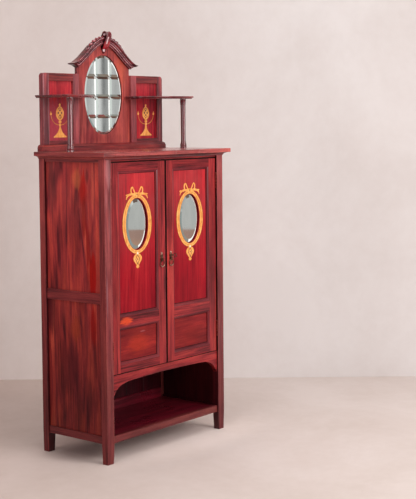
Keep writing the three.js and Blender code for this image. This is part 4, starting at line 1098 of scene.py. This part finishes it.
# leaf sprays lying along the moulding's slope: overlapping lobes with a beaded stalk in front; painted shade in the
# hollows and painted highlight on the crests and beads
SPRAY_X = [8, 30, 42, 56, 70, 84, 96, 104, 108]
RISE = [6, 9, 12, 13.5, 14, 13, 10, 6, 1]
rise_line = smooth_path(list(zip(SPRAY_X, RISE)), 4)
for side, s in (("left", -1), ("right", 1)):
    bm = new_mesh()
    n_long, n_wide = 90, 17
    rows = []
    for i in range(n_long):
        t = i / (n_long - 1)
        x = 8 + 99.5 * t
        base = at(ARCH_TOP, x)
        rise = at(rise_line, x)
        slope = (at(ARCH_TOP, x + 2) - at(ARCH_TOP, x - 2)) / 4
        row = []
        for j in range(n_wide):
            v = -1 + 2 * j / (n_wide - 1)                     # -1 front edge, 1 rear edge
            arch = max(0.0, 1 - abs(v) ** 2.6)
            lobes = abs(math.sin(math.pi * (5.5 * t + 0.55 * abs(v)))) ** 0.7
            veins = 0.10 * math.sin(math.pi * (22 * t + 2.2 * abs(v)))
            h = rise * arch * (0.42 + 0.58 * lobes + veins)
            y = 160.2 + 8.6 * v * (0.86 + 0.14 * lobes)
            row.append((s * (x - slope * h * 0.35), y, base + 0.2 + h))
        rows.append(row)
    upper = [[bm.verts.new(V(*p)) for p in row] for row in rows]
    for i, (a, b) in enumerate(zip(upper, upper[1:])):
        for j in range(n_wide - 1):
            f = bm.faces.new((a[j], a[j + 1], b[j + 1], b[j]))
            v = abs(-1 + (2 * j + 1) / (n_wide - 1))
            lobes = abs(math.sin(math.pi * (5.5 * (i + 0.5) / (n_long - 1) + 0.55 * v)))
            f.material_index = 1 if lobes < 0.46 or v > 0.93 else 2 if lobes > 0.93 and 0.3 < v < 0.7 else 0
    edge_loop = [e for e in bm.edges if e.is_boundary]
    made = bmesh.ops.extrude_edge_only(bm, edges=edge_loop)["geom"]
    for v in (g for g in made if isinstance(g, bmesh.types.BMVert)):
        v.co.z = (at(ARCH_TOP, v.co.x / MM) - 1.5) * MM
    bmesh.ops.holes_fill(bm, edges=[e for e in bm.edges if e.is_boundary], sides=0)
    for i in range(11):
        t = (i + 0.6) / 11.5
        x = 12 + 92 * t
        r = 2.3 * (1 - 0.35 * t)
        made = bmesh.ops.create_uvsphere(bm, u_segments=10, v_segments=7, radius=r * MM,
                                         matrix=Matrix.Translation(V(s * x, 152.6, at(ARCH_TOP, x) + 1.2)))
        for f in {f for v in made["verts"] for f in v.link_faces}:
            f.material_index = 2
    for f in bm.faces:
        f[bm.faces.layers.float.get("board")] = 94.0 + s
    piece(f"carved_leaf_spray_{side}_wood", bm, "carcase", [carved_wood["X"], joint_shade_wood["Z"], highlight_paint_wood["X"]], None,
          (), smooth=60, weighted=False)


# ------------------------------------------------------------------ display shelves and columns
def shelf_plan(inset, n=40):
    cx, rx, ry = 355.0, 235 - inset, 160.0 - inset
    pts = [(350.25, 161.5), (350.25, 181), (374 - inset, 181)]
    pts += [(374 - inset, 1.5 + inset + 6), (374 - inset - 0.8, 1.5 + inset + 3), (374 - inset - 2.4, 1.5 + inset + 1),
            (374 - inset - 6, 1.5 + inset)]
    for i in range(n + 1):
        t = math.pi / 2 * i / n
        pts.append((cx - rx * math.sin(t), 161.5 - ry * math.cos(t) if i < n else 161.5))
    return pts


for side, s in (("left", -1), ("right", 1)):
    bm = new_mesh()
    # thumb-moulded edge: (height, inset)
    edge = [(1384.5, 7.0), (1384.5, 5.6), (1386.6, 5.2), (1388.4, 4.4), (1389.6, 2.6), (1389.8, 0.9), (1390.6, 0.25),
            (1392, 0.0), (1393.6, 0.25), (1394.8, 1.0), (1395.5, 2.4)]
    rings = []
    for z, inset in edge:
        rings.append([(s * x, y, z) for x, y in shelf_plan(inset)])
    loft(bm, rings)
    piece(f"display_shelf_{side}_wood", bm, "carcase", [cornice_wood["X"]], one(0, 100.0 + s),
          f"display_shelf_{side}", smooth=40)

    bm = new_mesh()
    spine = [(14.0, 0), (14.0, 5.2), (13.5, 6.4), (12.7, 7.2)] + smooth_path(
        [(12.9, 7.8), (13.6, 9.6), (13.8, 12.4), (13.5, 15.2), (12.8, 17.4)], 4) + smooth_path(
        [(12.3, 18.0), (11.9, 20.4), (11.4, 22.6), (11.2, 24.0)], 4) + smooth_path(
        [(11.7, 24.5), (11.9, 25.6), (11.4, 26.8)], 4) + smooth_path(
        [(10.5, 27.4), (10.25, 32), (10.2, 60), (10.5, 110), (10.8, 150), (11.0, 170), (11.0, 181.6)], 5) + [
        (11.1, 182.4)] + smooth_path([(12.2, 183.0), (12.7, 185.0), (12.2, 187.0)], 4) + [(11.6, 187.5), (11.6, 189.2)] + \
        smooth_path([(12.3, 189.7), (12.8, 191.2), (12.3, 192.8)], 4) + [(12.0, 193.4), (12.0, 194.4), (12.8, 195.4),
                                                                          (12.8, 206.7)]
    seg = 40
    rings = [[(s * 335.5 + r * math.cos(2 * math.pi * k / seg), 32 + r * math.sin(2 * math.pi * k / seg), TOP_Z + z)
              for k in range(seg)] for r, z in spine]
    loft(bm, rings)
    piece(f"column_{side}_wood", bm, "carcase", [turned_wood["Z"]], one(0, 103.0 + s), f"column_{side}",
          smooth=40, weighted=False)


# ------------------------------------------------------------------ brass drop handles, key, lock and hinges
def lathe_y(bm, cx, cz, profile, y0, seg=24):
    """Turned about an axis along Y: profile is (radius, distance forward of y0)."""
    rings = [[(cx + max(r, 0.01) * math.cos(2 * math.pi * k / seg), y0 - d, cz + max(r, 0.01) * math.sin(2 * math.pi * k / seg))
              for k in range(seg)] for r, d in profile]
    loft(bm, rings)


for side, s in (("left", -1), ("right", 1)):
    cx = s * HANDLE_X
    bm = new_mesh()
    half = smooth_path([(0.0, 740), (2.5, 741), (5, 743.6), (7.5, 747.5), (7.6, 752), (6.5, 755.5), (8.4, 759.5),
                        (8.4, 764), (6.5, 768), (4.2, 770), (5, 773), (3.5, 776.6), (0.0, 778.5)], 3)
    full = [(cx + x, z) for x, z in half] + [(cx - x, z) for x, z in reversed(half[1:-1])]
    rows = loft(bm, [[(x, DOOR_FRONT, z) for x, z in full], [(x, DOOR_FRONT - 1.1, z) for x, z in full],
                     [(cx + (x - cx) * 0.9, DOOR_FRONT - 1.6, 759 + (z - 759) * 0.97) for x, z in full]])
    lathe_y(bm, cx, 773, [(4.4, 0), (4.4, 0.6), (3.6, 0.9), (4.0, 1.3), (3.7, 2.2), (2.9, 3.1), (1.6, 3.7), (0.1, 3.9)],
            DOOR_FRONT - 1.0)
    lathe_y(bm, cx, 743.6, [(1.7, 0), (1.6, 0.7), (1.0, 1.2), (0.1, 1.4)], DOOR_FRONT - 1.2, 16)
    for k in (-1, 1):
        a, b = cx + k * 4.4, cx + k * 6.4
        pts = [(-161.4, 749.1), (-160.6, 747.6), (-158.5, 747.0), (-155.6, 746.2), (-155.6, 753.8), (-158.5, 753.0),
               (-160.6, 752.4), (-161.4, 750.9)]
        loft(bm, [[(a, y, z) for y, z in pts], [(b, y, z) for y, z in pts]])
        rings = [[(cx + k * d, PIVOT_Y + r * math.cos(2 * math.pi * i / 12), PIVOT_Z + r * math.sin(2 * math.pi * i / 12))
                  for i in range(12)] for r, d in ((1.4, 6.3), (1.6, 6.8), (1.2, 7.3), (0.2, 7.6))]
        loft(bm, rings)
    rings = [[(cx + d, PIVOT_Y + 1.0 * math.cos(2 * math.pi * i / 10), PIVOT_Z + 1.0 * math.sin(2 * math.pi * i / 10))
              for i in range(10)] for d in (-6, 6)]
    loft(bm, rings)
    piece(f"{side}_handle_plate_brass", bm, side + "_door", [brass, bright_brass],
          lambda c, n: (1 if c.z > 768.3 and c.y < -155.7 else 0, 0.0), f"{side}_handle_plate",
          smooth=45, weighted=False)

    bm = new_mesh()
    # oval loop, thicker at the foot, with a collar each side and a bead at the bottom
    path, radii = [], []
    steps = 44
    for i in range(steps):
        a = math.pi / 2 + 2 * math.pi * i / steps
        xx, zz = math.cos(a), math.sin(a)
        pinch = 1 - 0.12 * max(0.0, zz)
        path.append((cx + 12.0 * xx * pinch, PIVOT_Y, 733.2 + 12.4 * zz))
        radii.append(1.45 + 0.55 * max(0.0, -zz) + 0.55 * math.exp(-((abs(a - 1.5 * math.pi)) / 0.16) ** 2)
                     + 0.5 * math.exp(-((abs(zz - 0.15)) / 0.09) ** 2))
    seg, rings = 10, []
    for i in range(steps):
        p0, p1 = Vector(path[i - 1]), Vector(path[(i + 1) % steps])
        d = (p1 - p0).normalized()
        out = d.cross(Vector((0, 1, 0))).normalized()
        rings.append([tuple(Vector(path[i]) + out * (radii[i] * math.cos(2 * math.pi * k / seg))
                            + Vector((0, 1, 0)) * (radii[i] * math.sin(2 * math.pi * k / seg))) for k in range(seg)])
    ring_loft(bm, rings)
    rings = [[(cx + d, PIVOT_Y + r * math.cos(2 * math.pi * i / 14), PIVOT_Z + r * math.sin(2 * math.pi * i / 14))
              for i in range(14)] for d, r in ((-4.1, 1.9), (-3.7, 2.4), (-1.5, 2.4), (-1.2, 2.1), (1.2, 2.1), (1.5, 2.4),
                                               (3.7, 2.4), (4.1, 1.9))]
    loft(bm, rings)
    pts = [(-1.9, 744.4), (1.9, 744.4), (1.6, 749), (-1.6, 749)]
    loft(bm, [[(cx + x, PIVOT_Y - 1.6, z) for x, z in pts], [(cx + x, PIVOT_Y + 1.6, z) for x, z in pts]])
    piece(f"{side}_handle_drop_brass", bm, side + "_handle", [brass, bright_brass],
          lambda c, n: (1 if c.y < PIVOT_Y - 1.0 and c.z < 727 else 0, 0.0), f"{side}_handle_drop",
          smooth=60, weighted=False)

# key: kidney-shaped bow, collars, shank and bit
bm = new_mesh()
steps, seg, rings = 48, 10, []
for i in range(steps):
    a = 2 * math.pi * i / steps
    c, sn = math.cos(a), math.sin(a)
    dent = 1 - 0.16 * max(0.0, -c) ** 2
    p = Vector((HANDLE_X, -177 + 7.6 * sn * 0.98 * dent, KEY_Z + 7.6 * c))
    out = Vector((0, sn, c)).normalized()
    r = 1.25 + 0.25 * max(0.0, -sn)
    rings.append([tuple(p + out * (r * math.cos(2 * math.pi * k / seg)) + Vector((1, 0, 0)) * (r * 0.85 * math.sin(2 * math.pi * k / seg)))
                  for k in range(seg)])
ring_loft(bm, rings)
lathe_y(bm, HANDLE_X, KEY_Z, [(0.5, -0.2), (1.9, 0), (2.0, 3.4), (2.0, 19.3), (2.0, 20.4), (2.6, 20.9), (2.6, 22.0), (2.0, 22.6),
                              (2.0, 26.8), (2.8, 27.3), (3.0, 28.4), (2.8, 29.6), (1.9, 30.2), (1.7, 32.4), (0.6, 32.6)],
        -137.5, 20)
pts = [(HANDLE_X - 1.2, 753.2), (HANDLE_X + 1.2, 753.2), (HANDLE_X + 1.2, 761.5), (HANDLE_X - 1.2, 761.5)]
loft(bm, [[(x, -141.4, z) for x, z in pts], [(x, -137.6, z) for x, z in pts]])
piece("key_steel", bm, "key", [steel], one(0, 0.0), "key", smooth=45, weighted=False)

piece("lock_case_brass", soften(cad_copy("lock_case"), 0.5), "right_door", [brass], one(0, 0.0), "lock_case")
piece("lock_bolt_steel", soften(cad_copy("lock_bolt"), 0.5), "lock_bolt", [steel], one(0, 0.0), "lock_bolt")
for side in ("left", "right"):
    for level in ("lower", "upper"):
        for part, body in (("post", "carcase"), ("door", side + "_door")):
            node = f"hinge_{level}_{part}_leaf_{side}"
            piece(node + "_brass", soften(cad_copy(node), 0.25, angle=60), body, [hinge_brass], one(0, 0.0), node,
                  smooth=40)


# ------------------------------------------------------------------ stage
def plain_surface(name, tint, deep, scale=1.4, rough=0.75, one_sided=False, left=(1, 1, 1), right=(1, 1, 1), under=False):
    m = Mat(name)
    p = m.node("ShaderNodeTexCoord").outputs["Object"]
    # painted light falloff: darker towards the left of the stage, by the left and right tints
    light_falloff = m.range(m.vec("DOT_PRODUCT", p, tuple(ACROSS)), -1.1, 0.9, 1.0, 0.0, smooth=True)
    cloud = m.noise(p, scale, 6.0, 0.62, 0.4)
    fine = m.noise(p, scale * 14, 4.0, 0.6)
    t = m.math("ADD", m.math("MULTIPLY", cloud, 0.8), m.math("MULTIPLY", fine, 0.2))
    colour = m.ramp(t, [(0.36, srgb(deep)), (0.62, srgb(tint))])
    colour = m.mix(light_falloff, m.vec("MULTIPLY", colour, right), m.vec("MULTIPLY", colour, left))
    if one_sided:
        # painted light falloff: the wall a little darker higher up
        height = m.node("ShaderNodeSeparateXYZ", n0=p).outputs[2]
        colour = m.vec("SCALE", colour, m.range(height, 0.7, 1.9, 1.0, 0.93))
    if under:
        # painted shadow: the floor darkened to a warm brown below the cabinet
        d = m.vec("LENGTH", m.vec("MULTIPLY", m.vec("SUBTRACT", p, (-0.02, 0.16, 0)), (2.6, 5.2, 1.0)))
        colour = m.mix(m.range(d, 0.30, 1.15, 0.42, 0.0, smooth=True), colour, srgb("7E4A40"))
        # painted shadow: a soft reddish streak on the floor left of the front-left foot
        d = m.vec("LENGTH", m.vec("MULTIPLY", m.vec("SUBTRACT", p, (-0.29, 0.05, 0)), (6.0, 6.0, 1.0)))
        colour = m.mix(m.range(d, 0.20, 1.0, 0.55, 0.0, smooth=True), colour, srgb("5E3430"))
        # painted light: a little paler just in front of it
        d = m.vec("LENGTH", m.vec("MULTIPLY", m.vec("SUBTRACT", p, (0.10, -0.17, 0)), (2.0, 5.5, 1.0)))
        colour = m.vec("SCALE", colour, m.range(d, 0.25, 1.2, 1.25, 1.0, smooth=True))
    bump = m.node("ShaderNodeBump", Strength=0.12, Distance=0.004, Height=t).outputs[0]
    if not one_sided:
        return m.finish(Base_Color=colour, Roughness=rough, Normal=bump)
    b = m.node("ShaderNodeBsdfDiffuse", Color=colour, Normal=bump)
    clear = m.node("ShaderNodeBsdfTransparent")
    back = m.node("ShaderNodeNewGeometry").outputs["Backfacing"]
    mixed = m.node("ShaderNodeMixShader", n0=back, n1=b.outputs[0], n2=clear.outputs[0])
    out = m.node("ShaderNodeOutputMaterial")
    m.tree.links.new(mixed.outputs[0], out.inputs[0])
    return m.material


def sheet(name, corners, material, only_reflected=False):
    mesh = bpy.data.meshes.new(name)
    mesh.from_pydata(corners, [], [tuple(range(len(corners)))])
    mesh.materials.append(material)
    obj = bpy.data.objects.new(name, mesh)
    bpy.context.scene.collection.objects.link(obj)
    if only_reflected:
        obj.visible_camera = obj.visible_diffuse = obj.visible_shadow = obj.visible_transmission = False
    return obj


HEADING = Vector((math.sin(math.radians(51.241)), math.cos(math.radians(51.241)), 0))
ACROSS = Vector((HEADING.y, -HEADING.x, 0))
CAMERA = Vector((-3.601677, -3.260373, 1.292669))
foot = Vector((CAMERA.x, CAMERA.y, 0)) + HEADING * 6.014
# the left and right tints paint the light falling off across the floor and the wall
sheet("floor", [(-14, -14, 0), (14, -14, 0), (14, 14, 0), (-14, 14, 0)], plain_surface("pale_floor", "E6DAD4", "DACCC4", left=(0.78, 0.71, 0.69), right=(0.93, 0.93, 0.94),
                                                                                   under=True))
wall = [foot - ACROSS * 6, foot + ACROSS * 3.4, foot + ACROSS * 3.4 + Vector((0, 0, 5)), foot - ACROSS * 6 + Vector((0, 0, 5))]
sheet("backdrop", [tuple(p) for p in wall], plain_surface("pale_wall", "EEE8E6", "E4DCD9", one_sided=True, left=(0.90, 0.85, 0.835), right=(0.87, 0.875, 0.885)))

# painted reflections: glowing sheets that only reflections show stand for what the mirrors see: pale hangings across
# the room, a brown floor, a beam overhead, a bright doorway and a grey-green screen
SEEN = math.radians(-38.8)
seen = Vector((math.cos(SEEN), math.sin(SEEN), 0))
side_v = Vector((-seen.y, seen.x, 0))
far, near = seen * 9.65, seen * 2.0
lift = Vector((0, 0, 0.004))


def emitter(m, colour, strength=1.0):
    e = m.node("ShaderNodeEmission", Color=colour, Strength=strength)
    out = m.node("ShaderNodeOutputMaterial")
    m.tree.links.new(e.outputs[0], out.inputs[0])
    return m.material


def hangings():
    m = Mat("room_wall_grey")
    p = m.node("ShaderNodeTexCoord").outputs["Object"]
    along = m.vec("DOT_PRODUCT", p, tuple(side_v))
    z = m.node("ShaderNodeSeparateXYZ", n0=p).outputs[2]
    soft = m.noise(p, (2.0, 2.0, 3.0), 3.0, 0.6)
    t = m.math("ADD", m.range(along, -0.90, -0.45), m.math("MULTIPLY", m.math("SUBTRACT", soft, 0.5), 0.06))
    folds = m.ramp(t, [(0.0, 0.56), (0.17, 0.56), (0.22, 0.80), (0.26, 1.0), (0.35, 0.95), (0.40, 0.74), (0.43, 0.36),
                       (0.47, 0.20), (0.50, 0.26), (0.54, 0.42), (0.58, 0.44), (0.63, 0.60), (0.68, 0.70), (0.74, 0.62),
                       (0.79, 0.52), (0.86, 0.60), (1.0, 0.60)])
    colour = m.mix(m.range(z, 0.75, 1.0), (0.60, 0.60, 0.585, 1), folds)
    valance = m.math("MULTIPLY", m.range(z, 2.12, 2.22), m.range(z, 3.5, 3.6, 1.0, 0.0))
    colour = m.mix(valance, colour, srgb("7C6860"))
    return emitter(m, colour)


def brown_floor():
    m = Mat("room_floor_brown")
    p = m.node("ShaderNodeTexCoord").outputs["Object"]
    d = m.vec("DOT_PRODUCT", p, tuple(seen))
    boards = m.noise(p, (3.0, 3.0, 1.0), 4.0, 0.6)
    d = m.math("ADD", m.range(d, 2.0, 9.1), m.math("MULTIPLY", m.math("SUBTRACT", boards, 0.5), 0.2))
    return emitter(m, m.ramp(d, [(0.0, srgb("A8A8A2")), (0.50, srgb("A09C94")), (0.60, srgb("98725F")), (0.72, srgb("D2A684")),
                                 (0.95, srgb("B49286"))]))


def dark_beam():
    m = Mat("room_beam_brown")
    p = m.node("ShaderNodeTexCoord").outputs["Object"]
    return emitter(m, m.ramp(m.noise(p, 5.0, 3.0), [(0.35, srgb("54403A")), (0.65, srgb("9A7060"))]))


def bright_doorway():
    m = Mat("doorway_white")
    p = m.node("ShaderNodeTexCoord").outputs["Object"]
    return emitter(m, m.ramp(m.noise(p, 2.0, 2.0), [(0.3, srgb("F4F2F0")), (0.7, srgb("FFFFFF"))]), 1.7)


def grey_screen():
    m = Mat("screen_grey_green")
    p = m.node("ShaderNodeTexCoord").outputs["Object"]
    z = m.node("ShaderNodeSeparateXYZ", n0=p).outputs[2]
    wave = m.math("MULTIPLY", m.math("SUBTRACT", m.noise(p, 6.0, 3.0), 0.5), 0.3)
    return emitter(m, m.ramp(m.math("ADD", m.range(z, 0.0, 2.6), wave), [
        (0.0, (0.36, 0.41, 0.40, 1)), (0.36, (0.36, 0.42, 0.41, 1)), (0.46, (0.84, 0.89, 0.86, 1)),
        (1.0, (0.90, 0.94, 0.92, 1))]))


def polar(azimuth, distance, z):
    a = math.radians(azimuth)
    return (distance * math.cos(a), distance * math.sin(a), z)


sheet("room_wall", [tuple(far - side_v * 5), tuple(far + side_v * 5), tuple(far + side_v * 5 + Vector((0, 0, 6))),
                    tuple(far - side_v * 5 + Vector((0, 0, 6)))], hangings(), True)
sheet("room_floor", [tuple(near - side_v * 0.7 + lift), tuple(near + side_v * 0.5 + lift), tuple(far + side_v * 5 + lift),
                     tuple(far - side_v * 5 + lift)], brown_floor(), True)
sheet("room_beam", [polar(-60, 2.2, 3.0), polar(-34, 2.2, 3.0), polar(-37, 6.6, 3.0), polar(-50, 6.6, 3.0)], dark_beam(), True)
sheet("doorway", [polar(-33.5, 2.1, 0.01), polar(-13, 2.1, 0.01), polar(-13, 2.1, 0.60), polar(-33.5, 2.1, 0.60)],
      bright_doorway(), True)
sheet("doorway_head", [polar(-24, 2.1, 1.22), polar(-13, 2.1, 1.22), polar(-13, 2.1, 2.4), polar(-24, 2.1, 2.4)],
      bright_doorway(), True)
sheet("doorway_foot", [polar(-33.5, 2.1, 0.01), polar(-33.5, 2.1, 0.42), polar(-39.5, 2.2, 0.42), polar(-39.5, 2.2, 0.01)],
      bright_doorway(), True)
sheet("screen", [polar(-76, 2.4, 0.01), polar(-56, 2.4, 0.01), polar(-56, 2.4, 2.6), polar(-76, 2.4, 2.6)],
      grey_screen(), True)


def softbox(name, azimuth, distance, height, size, power, colour, aim=(0, 0, 0.9)):
    a = math.radians(azimuth)
    light = bpy.data.lights.new(name, "AREA")
    light.shape = "RECTANGLE"
    light.size, light.size_y = size
    light.energy = power
    light.color = colour
    obj = bpy.data.objects.new(name, light)
    bpy.context.scene.collection.objects.link(obj)
    obj.location = (distance * math.cos(a), distance * math.sin(a), height)
    obj.rotation_mode = "QUATERNION"
    obj.rotation_quaternion = (obj.location - Vector(aim)).to_track_quat("Z", "Y")
    return obj


softbox("key", -85, 3.8, 1.95, (1.5, 2.0), 88, (1.0, 0.97, 0.95))
softbox("right", -20, 3.9, 1.6, (1.15, 2.9), 31, (1.0, 0.98, 0.97))
softbox("overhead", -100, 1.8, 3.6, (3.2, 3.2), 38, (1.0, 0.97, 0.95), (0, 0.3, 0.4))
softbox("rim", -158, 2.6, 3.0, (0.4, 0.4), 12, (1.0, 0.98, 0.97), (0, 0.16, 1.5))
softbox("left_fill", 176, 4.2, 2.0, (1.2, 2.2), 40, (1.0, 0.975, 0.96), (0, 0, 1.2))

world = bpy.data.worlds.new("studio")
bpy.context.scene.world = world
world.use_nodes = True
background = world.node_tree.nodes["Background"]
background.inputs[0].default_value = (1.0, 0.95, 0.93, 1)
background.inputs[1].default_value = 0.43

bpy.context.scene.view_settings.view_transform = "Standard"
bpy.context.scene.view_settings.look = "None"

# ------------------------------------------------------------------ camera
yaw, pitch, roll = math.radians(-51.241), math.radians(-3.741), math.radians(-0.476)
forward = Vector((-math.sin(yaw) * math.cos(pitch), math.cos(yaw) * math.cos(pitch), math.sin(pitch)))
right = Vector((math.cos(yaw), math.sin(yaw), 0))
up = right.cross(forward)
cam_right = right * math.cos(roll) + up * math.sin(roll)
cam_up = up * math.cos(roll) - right * math.sin(roll)
camera_data = bpy.data.cameras.new("camera")
camera_data.sensor_width = 36
camera_data.lens = 1209.584 * 36 / 499
camera_data.shift_x = 0.0
camera_data.shift_y = -(249.5 - 199.561) / 499
camera = bpy.data.objects.new("camera", camera_data)
bpy.context.scene.collection.objects.link(camera)
camera.matrix_world = Matrix(((cam_right.x, cam_up.x, -forward.x, CAMERA.x), (cam_right.y, cam_up.y, -forward.y, CAMERA.y),
                              (cam_right.z, cam_up.z, -forward.z, CAMERA.z), (0, 0, 0, 1)))
bpy.context.scene.camera = camera
